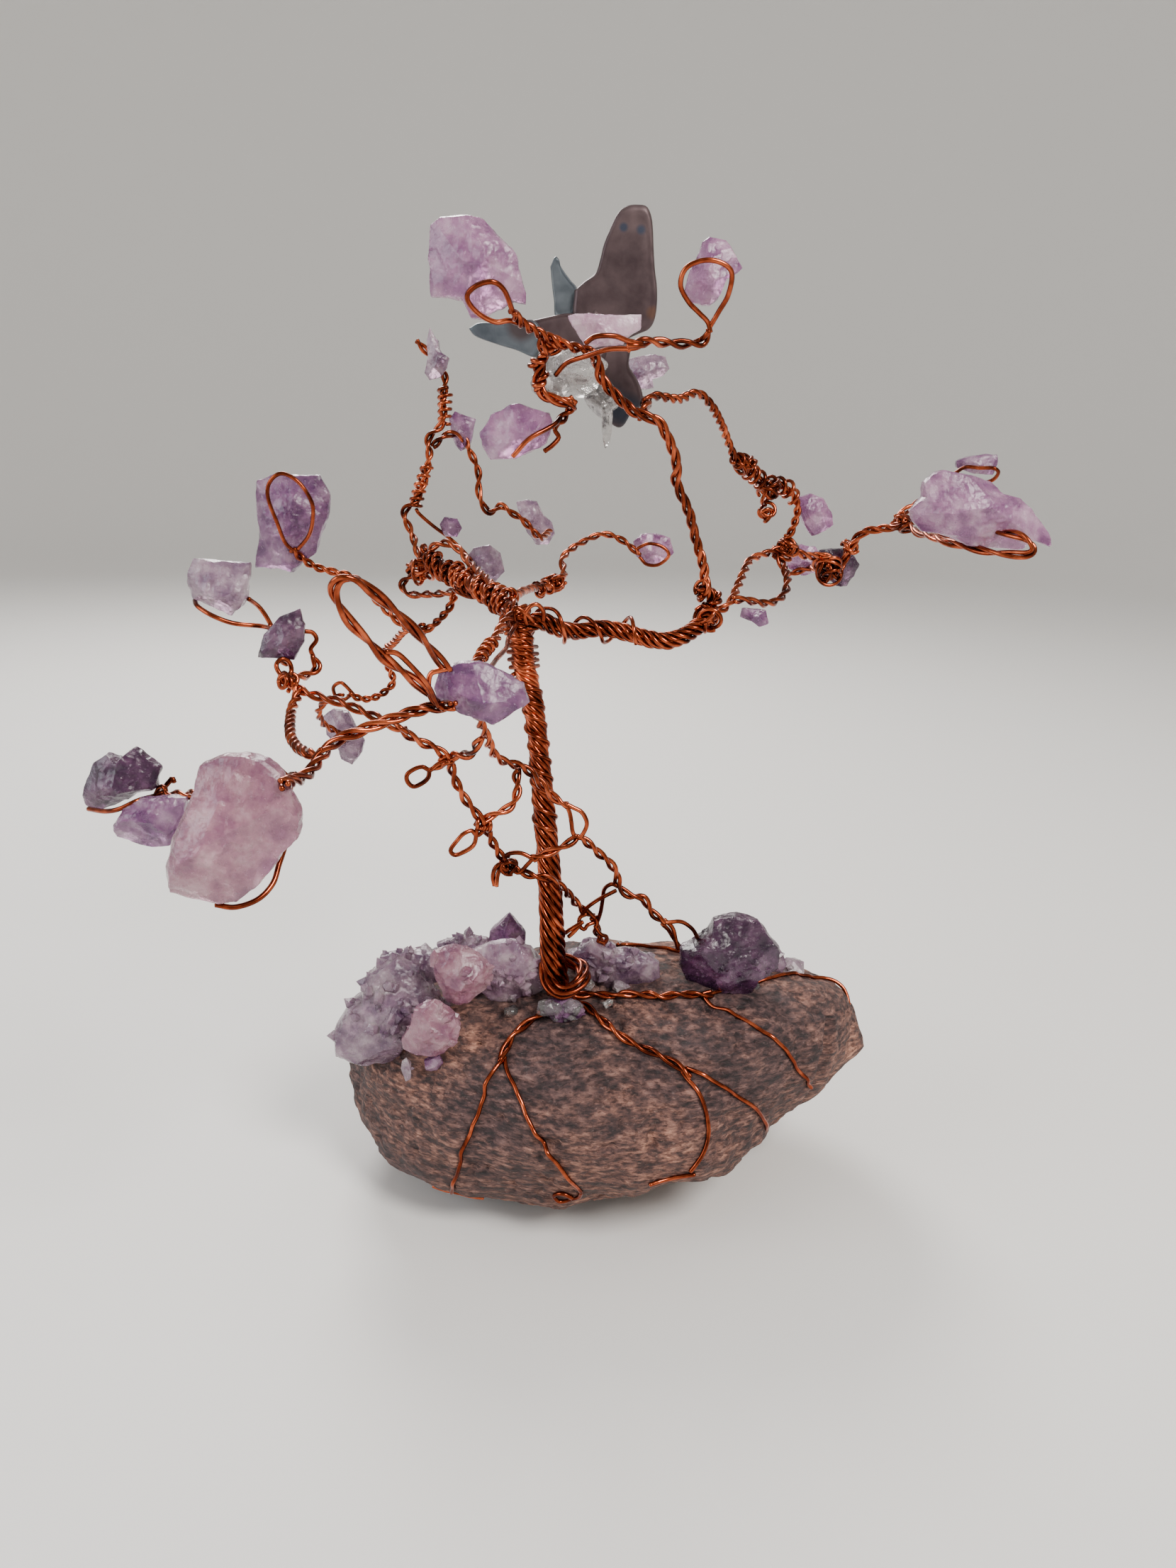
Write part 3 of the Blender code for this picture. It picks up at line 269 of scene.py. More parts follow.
# rough stone: (CAD node, middle along Y, half its depth, seed, colour, "x z" of its outline from the front)
GEMS = {
    "top_left": ("top_left_crystal", -5.4, 3.6, 3, "lilac", """
    -17.8 140.1, -16.5 141, -13.4 141.4, -11.2 141, -9 138.8, -7.3 137.3, -6.8 135.1, -6 132.8, -6.1 131.5,
    -7.6 131.8, -8.9 130.7, -11.6 129.6, -12.8 129.7, -13.8 131.6, -15.6 132, -17.8 132, -18.1 136.1"""),
    "top_right": ("top_right_crystal", -0.5, 2.6, 5, "lilac", """
    15.6 139.9, 16.5 140.6, 18.5 140.3, 19.2 139.4, 19.9 138.4, 20.9 137.2, 20.3 136.5, 19 135.7, 18 133.5,
    17 132.5, 14.7 133, 13.7 133.5, 13.8 134.7, 14.1 136.7, 15.2 138.8"""),
    "slab": ("slab_crystal", 3, 2, 4, "frosted", """
    -1 131.1, 1.1 131.5, 4.4 131.4, 8.6 131.5, 8.6 129.7, 7.5 129, 6.4 127.7, 2.7 127.2, 1.3 127.3,
    0.5 128.5, -0.7 130.5"""),
    "behind_wing": ("behind_wing_crystal", 47.5, 3.4, 6, "grey", """
    6.8 127.5, 7.8 128.1, 9.6 128.8, 11.6 129.1, 14.3 128.9, 14.9 126.9, 13.9 125.7, 12.1 125.1,
    12.4 123.8, 11 123.4, 9.2 123.3, 7.1 124.4"""),
    "hanging": ("hanging_crystal", 0.3, 2.9, 7, "lilac", """
    -11.8 116.5, -10.9 118.4, -8.7 119.6, -7.1 119.9, -5.4 119.5, -3.1 118.9, -2.6 117.8, -2.7 116.8,
    -3.4 115, -5.3 113.7, -7.5 112.9, -10.8 112.6, -11.9 114.1, -12.2 116.1"""),
    "rear_tip": ("rear_tip_crystal", 49, 2, 8, "grey", """
    -26 130.1, -25.4 132.1, -24.8 131, -24 130.2, -23.8 128.5, -22.2 127.4, -22.5 125.7, -23.7 124.3,
    -25.5 123.7, -26.4 124.8, -25.8 127.3"""),
    "rear_left": ("rear_left_crystal", 52, 2, 9, "purple", """
    -22.6 117.7, -21.6 118.9, -20 118.4, -18 117.8, -18.3 115.5, -19.1 113.1, -20.6 112.2, -21.6 113.3,
    -22.2 115.3"""),
    "rear_low": ("rear_low_crystal", 48, 2.8, 10, "grey", """
    -19.5 93.9, -17.9 96.1, -15.1 96.7, -13.2 95.3, -12.3 92.2, -13.8 90.1, -16.3 90.9, -18.6 92"""),
    "far_rear": ("far_rear_crystal", 63.6, 3.2, 11, "grey", """
    -11.5 103.1, -9.5 103.7, -7.7 103.4, -6.3 101, -4.7 99.7, -4.1 97.7, -5.3 95.7, -7.7 95.4, -9.3 97.6,
    -10.8 100.8"""),
    "middle_rear": ("middle_rear_crystal", 62.5, 3.2, 12, "lilac", """
    10.6 96.6, 12.1 98.1, 14.7 98.4, 17.5 97.5, 18.3 94.9, 16.4 92.8, 13.3 92.7, 11.2 94"""),
    "pendant": ("pendant_crystal", 29.5, 3, 13, "purple", """
    -50.1 107.6, -47.3 108.5, -43.6 108.4, -40.3 108.5, -38.7 105.5, -39.1 101.9, -40.3 98.9, -41.2 96.3,
    -43.5 94.4, -45 93, -48 93.5, -51.2 93.5, -50.1 98.5, -50.5 103.5"""),
    "left_upper": ("left_upper_crystal", -3, 3.2, 14, "grey", """
    -50.1 98.7, -47.8 98.5, -45.3 98.4, -42.6 98.4, -42.5 96.8, -43.1 94.1, -43.7 92.5, -45.3 91.2,
    -47.5 92.4, -50.5 93.2, -51.2 95.4, -50.7 97.3"""),
    "left_knot": ("left_knot_crystal", -5.5, 2.6, 15, "dark", """
    -41.4 86, -40.3 89.3, -38 91.8, -35.5 92.8, -34.9 90.7, -35 88.5, -36.4 85.9, -38.9 86.1"""),
    "front": ("front_crystal", -22.5, 3.8, 16, "purple", """
    -15.3 86.5, -14.6 88.8, -12.3 89.8, -10 90, -6.6 88.8, -4.6 87.5, -3.7 85.2, -5.4 84.2, -6.5 83.3,
    -8 82.4, -10.5 83.2, -12.9 84, -14.6 84.8"""),
    "far_left_upper": ("far_left_upper_crystal", -20, 3.2, 17, "dark", """
    -60.2 70.4, -58.6 74.7, -56.7 76.1, -55.3 75.2, -53.1 77, -51.7 75.6, -50 74.5, -50.6 71.7, -53 70.9,
    -56.1 69.3, -58.5 68.5, -60 69.1"""),
    "far_left_lower": ("far_left_lower_crystal", -24.5, 3.2, 18, "purple", """
    -54.7 68.4, -53.1 70.9, -51.2 71.8, -49.2 71.9, -47.5 72.3, -45.5 72.1, -45.9 69.3, -47.9 65.8,
    -50 65.5, -52.8 65.9, -54.5 66.8"""),
    "front_left": ("front_left_crystal", -43.5, 4.6, 19, "pink", """
    -36.9 82.4, -34.6 83.4, -32.6 83.5, -30.2 83.1, -28.3 81.7, -27.5 79.4, -26.6 77.4, -26.7 74.7,
    -28.7 72.5, -29.8 70.9, -31.4 68.9, -34 66.6, -37.1 66.8, -41 67.8, -41.2 71, -40.3 74.2, -38.9 76.9,
    -37.7 79.5"""),
    "rear_droop": ("rear_droop_crystal", 52.5, 2.8, 20, "grey", """
    -46.4 63.5, -44.5 64.9, -41.6 64.5, -40.6 62.3, -38.7 58.9, -39.1 56.8, -41.1 54.2, -43.2 55.3,
    -43.6 58, -45.7 60"""),
    "far_right": ("far_right_crystal", 15.5, 4.2, 21, "lilac", """
    49.4 107.1, 51 109.1, 51 111, 52.2 112.5, 53.7 113, 57.9 112.4, 60.5 111.8, 62.3 110, 65 109.4,
    66.8 108, 68.6 106, 70.1 104.2, 70.8 102.5, 69.7 102.5, 67.6 103.4, 66.6 101.9, 62.4 101.9, 58.1 102.2,
    55.9 103.3, 53.7 103.9, 51.6 104.1, 50.1 105.6"""),
    "far_rear_right": ("far_rear_right_crystal", 45, 2.4, 22, "purple", """
    64 113.7, 65.9 114.5, 68.8 115, 70.9 115, 71 113.4, 70.5 111.6, 66.9 111.7, 64.3 112.6"""),
    "coil": ("coil_crystal", 37, 2.8, 23, "lilac", """
    36.4 107.4, 38.7 107.9, 40.5 107.3, 42.1 105.1, 42.7 103, 40.4 101.5, 39.3 101.1, 37.4 103.4,
    36.7 105.7"""),
    "behind_coil": ("behind_coil_crystal", 59, 2.8, 24, "lilac", """
    38.5 96.6, 41.5 97.7, 44.1 97.2, 46.3 94.9, 45.2 92.9, 42 91.9, 39.5 93.1, 38.6 94.7"""),
    "below_coil": ("below_coil_crystal", 45, 3, 25, "dark", """
    42.3 98.1, 46.4 98.6, 48.4 97.2, 49.5 95.8, 48.5 93.5, 47.7 91.9, 45.8 92, 43.8 93.3, 41.9 95.8"""),
    "small_one": (None, 46.2, 1.8, 26, "purple", """
    -23.6 100, -22.6 101.4, -20.5 101.1, -19.7 99.5, -20.5 98, -22.6 98"""),
    "small_two": (None, 16.5, 1.4, 27, "purple", """
    26 91.8, 28.4 91.8, 29.7 91.6, 30.3 89.5, 28.8 89, 27.5 89.8, 25.9 90.4"""),
    "on_stone": ("dark_cluster", 5, 4.7, 29, "dark", """
    18.8 40.9, 20.7 41.6, 23 43.4, 23.7 45.7, 27 46.5, 30.5 46, 32.4 43.3, 34.4 41, 34.1 38, 31.4 36.2,
    30.5 33.5, 26.7 32.9, 23.6 33.9, 20.5 35, 19 38.1"""),
    "round": (None, -4.5, 4.2, 35, "pink", """
    -18.2 43, -15.2 44.2, -11.3 43, -9.3 40.2, -10.1 37.5, -12.9 35, -16.1 35.2, -17.9 38.8"""),
    "prism": (None, 2.5, 4, 40, "pale", """
    -13.9 39.6, -10.1 41.4, -6.3 42.1, -4 40.7, -1.7 37.8, -1.3 35.2, -3.8 32.6, -7 30.5, -10 32,
    -12.7 34.7"""),
    "tip": (None, 8, 2.6, 44, "purple", "-11.6 38, -10.9 41.1, -7.8 44.2, -5.2 40.9, -5.3 38.1, -7.9 36.8"),
    "left_block": (None, -1, 6.2, 91, "grey", """
    -28.8 36.8, -23.9 40.3, -20.7 38.4, -17.6 34.3, -16.2 30.3, -22.4 26.6, -23.7 23.6, -29.1 22.3,
    -33.5 23.8, -33.6 28.2, -31.4 32.1, -29.2 33.5"""),
    "left_front": (None, -8.5, 3.2, 92, "pink", """
    -22.2 30.8, -21.1 32.8, -20.3 36, -17.5 37.2, -14.8 35.3, -13.5 33.1, -14.2 30.4, -16.7 28.4, -20 28.3,
    -22 29.1"""),
    "left_top": (None, 3, 4.2, 93, "grey", """
    -27.3 38.4, -22.9 39.5, -19.3 38.9, -18.1 35.2, -21.6 33, -26.5 34.7"""),
    "ridge": (None, 7, 3.2, 94, "grey", "-19.1 39, -14.8 40.6, -11.2 40.2, -10.3 37.6, -13.7 36.1, -18.6 37.3"),
    "behind_foot": (None, 5, 2.6, 95, "grey", """
    2.3 39, 5.3 41.4, 7.4 40, 12 40.1, 15.6 38, 16.1 34.1, 12.4 32.4, 7.1 33.6, 2.7 35.1"""),
    "foot_small": (None, -3, 2.2, 96, "purple", "-1.6 34.6, 2.1 35.5, 4.5 33.4, 2.7 30.3, 0 31"),
    "low_chip": (None, -8, 1.6, 97, "purple", "-19 27.1, -16.8 28, -16.2 26.7, -17.2 25.4, -18.8 25.5"),
}

# lumps with small crystals on them: how many, and the half length of the longest
CRUSTED = {
    "left_block": (46, 2.0), "left_front": (7, 1.3), "left_top": (22, 1.6), "ridge": (20, 1.4),
    "prism": (26, 1.7), "round": (9, 1.4), "behind_foot": (26, 1.6), "foot_small": (8, 1.2),
    "on_stone": (10, 1.2)}

# small broken pieces on the stone: (CAD node, {colour: middle, half sizes and seed of each})
DRUSES = {
    "left": ("left_cluster", {
        "clear": "-29.6 -1 25.2 2.8 3 2.6 34, -22.9 3 33.4 3 3.4 2.8 33, -21.6 -8 25.4 0.9 0.8 1.9 37",
        "grey": "-26.6 6 33.6 3 3.6 2.6 32, -25 -3.4 30.6 2 2 2.2 36"}),
    "middle": ("middle_cluster", {
        "clear": "-20.8 7.5 36 2.4 2.6 2.4 41, -8.2 6.5 37.4 2.6 2.6 2.2 45, -7.2 2.4 32.9 1.9 2.3 2.2 48",
        "grey": "-16.3 9 37.2 2.6 2.4 1.8 42, -5.2 6 36.4 2.4 2.6 2.6 46, -13 4 32.6 1.8 1.8 1.6 49",
        "dark": "-4.6 4.4 33.6 2 2 2.2 50"}),
    "back": ("back_cluster", {
        "grey": "3.2 8 36.6 2.2 2.3 1.9 55, 13.5 7.6 35.2 2.4 2.2 1.5 58, 6 12 37 3 2.2 1.3 65",
        "clear": "10.5 6 35.8 2.4 2.2 1.7 57, 9.6 3.4 34.6 2.2 1.8 1.2 59"}),
    "right": (None, {
        "grey": "34.2 14.8 34 2.8 3 2.6 61",
        "clear": "38.2 16 32.4 2.8 2.4 1.6 62"}),
}
# middle, half sizes and seed of each
GLASS_CHIPS = """1 -3.8 34 0.5 0.5 2 52, 3.1 -4.3 33.6 0.5 0.5 2.2 53, -6.7 -2.4 32.6 1.3 0.9 0.7 54,
    2 -4.6 33 0.4 0.5 1.7 66, 0.2 -4.4 33.2 0.6 0.5 1 67, 8 -2.6 34.6 0.7 0.7 0.8 68, 5 0.6 36 1 0.8 0.8 69"""
GLUE_DROPS = """0.5 6 124.2 4.2 5 3 81, -3 2 122.3 2.6 2 1.8 82, 3.8 6.6 121 2.4 4.4 2.2 83,
    4.6 6 117.5 0.7 0.7 3 84, -0.8 -4.2 34.2 2 1.2 1.2 85, 2.4 -3.8 34.4 1.6 1 1 86, 28 6.5 33.4 4 1.6 1.4 87"""


def rows(text):
    """An array from numbers in a text, one row to each comma."""
    return np.array([row.split() for row in text.split(",")], float)


def read_wires(text):
    """(what stands before the colon, the points after it) for each wire in a text."""
    parts = re.split(r"([a-z][^:]*):", text)[1:]
    return [(head, rows(points)) for head, points in zip(parts[::2], parts[1::2])]


def lumps(text):
    """(middle, half sizes, seed) of each row."""
    return [(row[:3], row[3:6], int(row[6])) for row in rows(text)]


def unit(v):
    """Vectors scaled to length 1 along their last axis."""
    return v / np.linalg.norm(v, axis=-1, keepdims=True)


# ---------------------------------------------------------------- curves and surfaces

def lattice_value(i, j, k, seed):
    """A repeatable number from -1 to 1 for each whole point of a lattice: a hash of its three indices."""
    h = (i * 374761393 + j * 668265263 + k * 1274126177 + seed * 362437) & 0x7FFFFFFF
    h = ((h ^ (h >> 13)) * 1103515245) & 0x7FFFFFFF
    h = ((h ^ (h >> 15)) * 69069) & 0x7FFFFFFF
    return (h / 0x3FFFFFFF) - 1.0


def noise(points, seed=0):
    """Smooth noise: lattice values blended by s = t * t * (3 - 2 t) along each axis."""
    base = np.floor(points).astype(np.int64)
    t = points - base
    t = t * t * (3 - 2 * t)
    out = np.zeros(len(points))
    for corner in np.ndindex(2, 2, 2):
        share = np.abs(1 - np.array(corner) - t)
        at = base + corner
        out += share[:, 0] * share[:, 1] * share[:, 2] * lattice_value(at[:, 0], at[:, 1], at[:, 2], seed)
    return out


def fbm(points, octaves, seed=0):
    """Noise summed over octaves, each twice as fine and half as strong."""
    total = np.zeros(len(points))
    for k in range(octaves):
        total += noise(points * 2.03 ** k + 7.1 * k, seed + k) * 0.5 ** k
    return total


def smooth_path(points, spacing):
    """Catmull-Rom curve through the points, resampled evenly at this spacing."""
    p = np.array(points, float)
    p = np.vstack([2 * p[0] - p[1], p, 2 * p[-1] - p[-2]])
    t = np.linspace(0, 1, 12, endpoint=False)[:, None]
    dense = []
    for before, here, there, beyond in zip(p, p[1:], p[2:], p[3:]):
        slope = there - before
        bend = 2 * before - 5 * here + 4 * there - beyond
        twist = -before + 3 * here - 3 * there + beyond
        dense.append(0.5 * (2 * here + slope * t + bend * t ** 2 + twist * t ** 3))
    dense = np.vstack(dense + [p[-2:-1]])
    along = np.concatenate([[0.0], np.cumsum(np.linalg.norm(np.diff(dense, axis=0), axis=1))])
    even = np.linspace(0, along[-1], max(4, int(along[-1] / spacing) + 1))
    return np.stack([np.interp(even, along, dense[:, k]) for k in range(3)], 1)


def carried_frame(path):
    """Tangents and two side directions that don't twist: each side is the last, made square to the tangent."""
    tangent = np.gradient(path, axis=0)
    tangent /= np.linalg.norm(tangent, axis=1)[:, None] + 1e-12
    start = np.array([0.3, -1.0, 0.2])
    side = np.zeros_like(path)
    for i, along in enumerate(tangent):
        start = start - along * (start @ along)
        start /= np.linalg.norm(start) + 1e-12
        side[i] = start
    return tangent, side, np.cross(tangent, side)


def round_path(path, angle, radius):
    """The path pushed out by the radius at this angle about it: path + (u cos a + v sin a) r."""
    _, u, v = carried_frame(path)
    return path + (u * np.cos(angle)[:, None] + v * np.sin(angle)[:, None]) * radius[:, None]


def ring_faces(rings, sides):
    """Quads between rings of points, and a fan at each end to the two points that follow the rings."""
    k = np.arange(sides)
    after = (k + 1) % sides
    start = np.arange(rings - 1)[:, None] * sides
    quads = np.stack([start + k, start + after, start + sides + after, start + sides + k], -1)
    low, top = rings * sides, (rings - 1) * sides
    fans = np.vstack([
        np.stack([np.full(sides, low), after, k], 1),
        np.stack([np.full(sides, low + 1), top + k, top + after], 1)])
    return quads.reshape(-1, 4).tolist() + fans.tolist()


def tube(path, radius, sides=8):
    """Rings of points round the path, at angle 2 pi k / sides, closed by a point at each end."""
    tangent, u, v = carried_frame(path)
    radius = np.broadcast_to(radius, len(path))
    angle = np.arange(sides) * SWEEP / sides
    ring = u[:, None] * np.cos(angle)[None, :, None] + v[:, None] * np.sin(angle)[None, :, None]
    points = (path[:, None] + ring * radius[:, None, None]).reshape(-1, 3)
    ends = [path[0] - tangent[0] * radius[0] * 0.35, path[-1] + tangent[-1] * radius[-1] * 0.35]
    return np.vstack([points, ends]), ring_faces(len(path), sides)


class Parts:
    """Meshes gathered into one."""

    def __init__(self):
        self.points = []
        self.faces = []
        self.count = 0

    def add(self, made):
        points, faces = made
        self.points.append(np.asarray(points))
        self.faces += [[i + self.count for i in f] for f in faces]
        self.count += len(points)

    def make(self, name, material, smooth=True):
        mesh = bpy.data.meshes.new(name)
        mesh.from_pydata((np.vstack(self.points) * MM).tolist(), [], self.faces)
        mesh.polygons.foreach_set("use_smooth", [smooth] * len(mesh.polygons))
        mesh.materials.append(material)
        mesh.update()
        obj = bpy.data.objects.new(name, mesh)
        bpy.context.scene.collection.objects.link(obj)
        return obj


def finish_piece(obj, node):
    """Turns the faces outwards, sets the piece on the body it rides on and hides the CAD node it stands for."""
    shaped = bmesh.new()
    shaped.from_mesh(obj.data)
    bmesh.ops.recalc_face_normals(shaped, faces=shaped.faces)
    shaped.to_mesh(obj.data)
    shaped.free()
    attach(obj, BODY)
    if node:
        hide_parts(node)


# ---------------------------------------------------------------- wire

def strands(parts, path, count, radius, lay, pitch, seed, phase=0.0, loose=0.12):
    """Strands wound round the path: strand k lies at angle 2 pi s / pitch + 2 pi k / count, at the lay radius.
    A pitch below 0 winds the other way."""
    step = np.linalg.norm(path[1] - path[0])
    pitch = np.broadcast_to(pitch, len(path))
    wander = 1 + 0.25 * noise(path / 5, seed)
    angle = np.cumsum(SWEEP * step / pitch * wander) + phase
    for k in range(count):
        shake = noise(path / 3.0 + 11.3 * k, seed + 5)
        strand = round_path(path, angle + SWEEP * k / count, lay * (1 + loose * shake))
        parts.add(tube(strand, radius, STRAND_SIDES))


def wire(parts, kind, points, seed):
    """One wire of this kind along the points, shaken a little by noise."""
    count, radius, lay, pitch = KINDS[kind]
    path = smooth_path(points, WIRE_STEP)
    path = path + np.stack([noise(path / 4 + 3 * seed + 17 * k, seed + k) for k in range(3)], 1) * 0.12
    strands(parts, path, count, radius, lay, pitch, seed, seed * 1.7)
    if kind == "rope":
        parts.add(tube(path, 0.6))


def wraps(parts, points, radius, pitch, seed):
    """A wire wound close round a path."""
    strands(parts, smooth_path(points, 0.1), 1, WRAP_RADIUS, radius, pitch, seed, seed, 0.35)


def wound_pair(parts, points, radius, pitch, seed):
    """A twisted pair wound round a path: the pair's own path is the helix at this radius and pitch."""
    step = 0.2
    path = smooth_path(points, step)
    angle = SWEEP * step * np.cumsum(1 + 0.35 * noise(path / 2.4, seed)) / pitch + seed
    helix = round_path(path, angle, radius * (1 + 0.22 * noise(path / 1.7, seed + 3)))
    strands(parts, smooth_path(helix[::2], step), 2, 0.32, 0.34, 2.7, seed)


def tangle(parts, middle, size, turns, seed):
    """Loose turns about seeded axes: each is a bent circle of about one and a quarter turns."""
    random = np.random.default_rng(seed)
    for _ in range(turns):
        axis = unit(random.normal(size=3))
        u = unit(np.cross(axis, random.normal(size=3)))
        v = np.cross(axis, u)
        t = np.linspace(0, SWEEP * random.uniform(0.8, 1.4), 40)[:, None]
        reach = size * random.uniform(0.65, 1.05)
        centre = np.array(middle) + random.normal(size=3) * size * 0.22
        parts.add(tube(centre + (u * np.cos(t) + v * np.sin(t)) * reach + axis * t * 0.14, WRAP_RADIUS))


# ---------------------------------------------------------------- the stone's skin
STONE_MIDDLE = np.array([8.0, 9.0, 16.0])
# the two directions across the axis that the lobes go round, and the lobes' strengths, as (cos, sin)
LEAN = (np.array([0.9994, 0.0103, 0.0336]), np.array([-0.0351, 0.2938, 0.9552]))
LOBES = (
    (-0.075, 0), (-0.019, 0.092), (0.031, 0.056), (-0.019, 0.037), (0.002, 0.027), (-0.012, 0.027),
    (-0.013, 0.016), (-0.008, 0.01), (-0.021, 0.021), (-0.002, 0.017))


def stone_radius(d):
    """How far the stone's skin is from its middle along unit directions: a blown ellipsoid,
    (|x/a|^p + |y/b|^p + |z/c|^p)^(-1/p), lumps, a taper under the right end, and lobes: a sum of
    cos(k t) and sin(k t) of the angle t round an axis that leans from front to back."""
    x, y, z = d[:, 0], d[:, 1], d[:, 2]
    a = np.where(x < 0, 42.0, 44.0)
    b = np.where(y < 0, 28.0, 29.0)
    c = np.where(z < 0, 18.5, 20.5)
    low = np.maximum(0, -z)
    p = 1.9 + 1.2 * np.maximum(0, -x) * low
    total = np.abs(x / a) ** p + np.abs(y / b) ** p + np.abs(z / c) ** p
    taper = 1 - 0.55 * np.maximum(0, x) * low
    bumps = 0.02 * np.sin(5 * x + 2) * np.cos(4 * y - 1) + 0.015 * np.sin(7 * z + 3 * x)
    across, up = d @ LEAN[0], d @ LEAN[1]
    t = np.arctan2(up, across)
    lobes = np.zeros(len(d))
    for k, (even, odd) in enumerate(LOBES):
        lobes += even * np.cos(k * t) + odd * np.sin(k * t)
    return total ** (-1 / p) * taper * (1 + bumps) * (1 + lobes * (across ** 2 + up ** 2))


def stone_skin(d):
    """The skin with its grain: fine layers that run nearly level, broad flats, pits and a groove."""
    r = stone_radius(d)
    p = d * r[:, None]
    layered = np.stack([p[:, 0] / 9, p[:, 1] / 9, (p[:, 2] + 0.12 * p[:, 0]) / 1.6], 1)
    rough = 0.30 * fbm(layered, 4, 3) + 0.9 * fbm(p / 11, 4, 9) + 0.18 * fbm(p / 1.1, 3, 21)
    rough += 0.45 * fbm(p / 5.5, 2, 55) * (1 + np.clip((p[:, 0] - 18) / 12, 0, 1))
    pits = np.maximum(0, fbm(p / 2.2, 3, 33) - 0.5) * 1.3
    groove = 1.9 * np.exp(-((p[:, 0] - 31.5 - 0.25 * p[:, 2]) / 0.9) ** 2) * (p[:, 1] < -6)
    return r + rough - pits - groove


def on_stone(points, lift):
    """Points moved along the line from the stone's middle to this far above its skin."""
    out = []
    for point in points:
        d = unit(point - STONE_MIDDLE)
        out.append(STONE_MIDDLE + d * (stone_skin(d[None])[0] + lift))
    return np.array(out)


def stone_mesh():
    """A sphere of rings pushed out to the skin, with what lies under the table lifted to it."""
    around, rings = (420, 210) if FINE else (160, 80)
    tilt = math.pi * (np.arange(1, rings) / rings - 0.5)
    turn = SWEEP * np.arange(around) / around
    tilt, turn = np.meshgrid(tilt, turn, indexing="ij")
    d = np.stack([np.cos(tilt) * np.cos(turn), np.cos(tilt) * np.sin(turn), np.sin(tilt)], -1).reshape(-1, 3)
    d = np.vstack([d, [[0, 0, -1], [0, 0, 1]]])
    points = STONE_MIDDLE + d * stone_skin(d)[:, None]
    points[:, 2] = np.maximum(points[:, 2], 0.0)
    return points, ring_faces(rings - 1, around)


# ---------------------------------------------------------------- rough crystals

def read_mesh(made):
    """The points and faces of a working mesh, which is then let go."""
    points = np.array([tuple(v.co) for v in made.verts])
    faces = [[v.index for v in f.verts] for f in made.faces]
    made.free()
    return points, faces


@functools.lru_cache(None)
def ball(level):
    """Unit directions and faces of a ball of triangles."""
    made = bmesh.new()
    bmesh.ops.create_icosphere(made, subdivisions=level, radius=1.0)
    points, faces = read_mesh(made)
    return unit(points), faces


def outline_reach(corners, u):
    """How far an outline reaches from its centre along unit directions: where a ray last crosses a side."""
    side = np.roll(corners, -1, 0) - corners
    cross = u[:, :1] * side[None, :, 1] - u[:, 1:] * side[None, :, 0]
    cross = np.where(np.abs(cross) < 1e-9, 1e-9, cross)
    t = (corners[:, 0] * side[:, 1] - corners[:, 1] * side[:, 0])[None] / cross
    s = (corners[None, :, 0] * u[:, 1:] - corners[None, :, 1] * u[:, :1]) / cross
    return np.where((t > 0) & (s >= -1e-6) & (s <= 1 + 1e-6), t, 0).max(1)


def gem(outline, y, depth, seed):
    """A rough stone with this outline from the front: along a direction d the skin is the nearest of the wall,
    t = ((c / R)^p + (|dy| / (1.1 depth))^p)^(-1/p), where R is the outline's reach and c the part of d in its
    plane, and of seeded planes, t = h / (n . d). Ridged noise chips it, and the outline's box is kept."""
    power = 2.4
    lowest, highest = outline.min(0), outline.max(0)
    size = float((highest - lowest).mean() / 2)
    d, faces = ball((6 if size > 2.4 else 5) if FINE else 4)
    flat = d[:, [0, 2]]
    c = np.linalg.norm(flat, axis=1) + 1e-9
    reach = np.maximum(outline_reach(outline - (lowest + highest) / 2, flat / c[:, None]), 0.3 * size)
    r = ((c / reach) ** power + (np.abs(d[:, 1]) / (1.1 * depth)) ** power) ** (-1 / power)
    random = np.random.default_rng(seed)
    rim = np.abs(d[:, 1]) < 0.12
    for side in np.repeat((-1, 1), 7):
        facing = d @ unit(np.array([random.normal() * 0.55, side, random.normal() * 0.55]))
        h = max(depth * random.uniform(0.78, 1.0), (r * facing)[rim].max() * 0.97)
        r = np.where(facing > 0.02, np.minimum(r, h / np.maximum(facing, 0.02)), r)
    for _ in range(36):
        a, tilt = random.uniform(0, SWEEP), random.uniform(0.5, 1.25) * random.choice([-1, 1])
        n = np.array([math.cos(a) * math.cos(tilt), math.sin(tilt), math.sin(a) * math.cos(tilt)])
        facing = d @ n
        edge, peak = (r * facing)[rim].max(), (r * facing).max()
        h = max(edge * random.uniform(0.98, 1.08), peak * random.uniform(0.70, 0.90))
        r = np.where(facing > 0.1, np.minimum(r, h / np.maximum(facing, 0.1)), r)
    ridges = np.abs(fbm(d * r[:, None] / 2.6 + seed, 3, seed))
    chips = fbm(d * r[:, None] / 0.7 + seed, 2, seed + 9)
    points = d * (r - 0.30 * np.minimum(1.0, size / 4) * ridges + 0.03 * chips)[:, None]
    for axis, low, high in ((0, lowest[0], highest[0]), (2, lowest[1], highest[1])):
        least, most = points[:, axis].min(), points[:, axis].max()
        points[:, axis] = low + (points[:, axis] - least) * (high - low) / (most - least)
    points[:, 1] += y
    return points, faces


def hull(points):
    """The closed skin round a cloud of points."""
    made = bmesh.new()
    for point in points:
        made.verts.new(point)
    bmesh.ops.convex_hull(made, input=made.verts)
    bmesh.ops.delete(made, geom=[v for v in made.verts if not v.link_faces], context="VERTS")
    made.verts.index_update()
    return read_mesh(made)


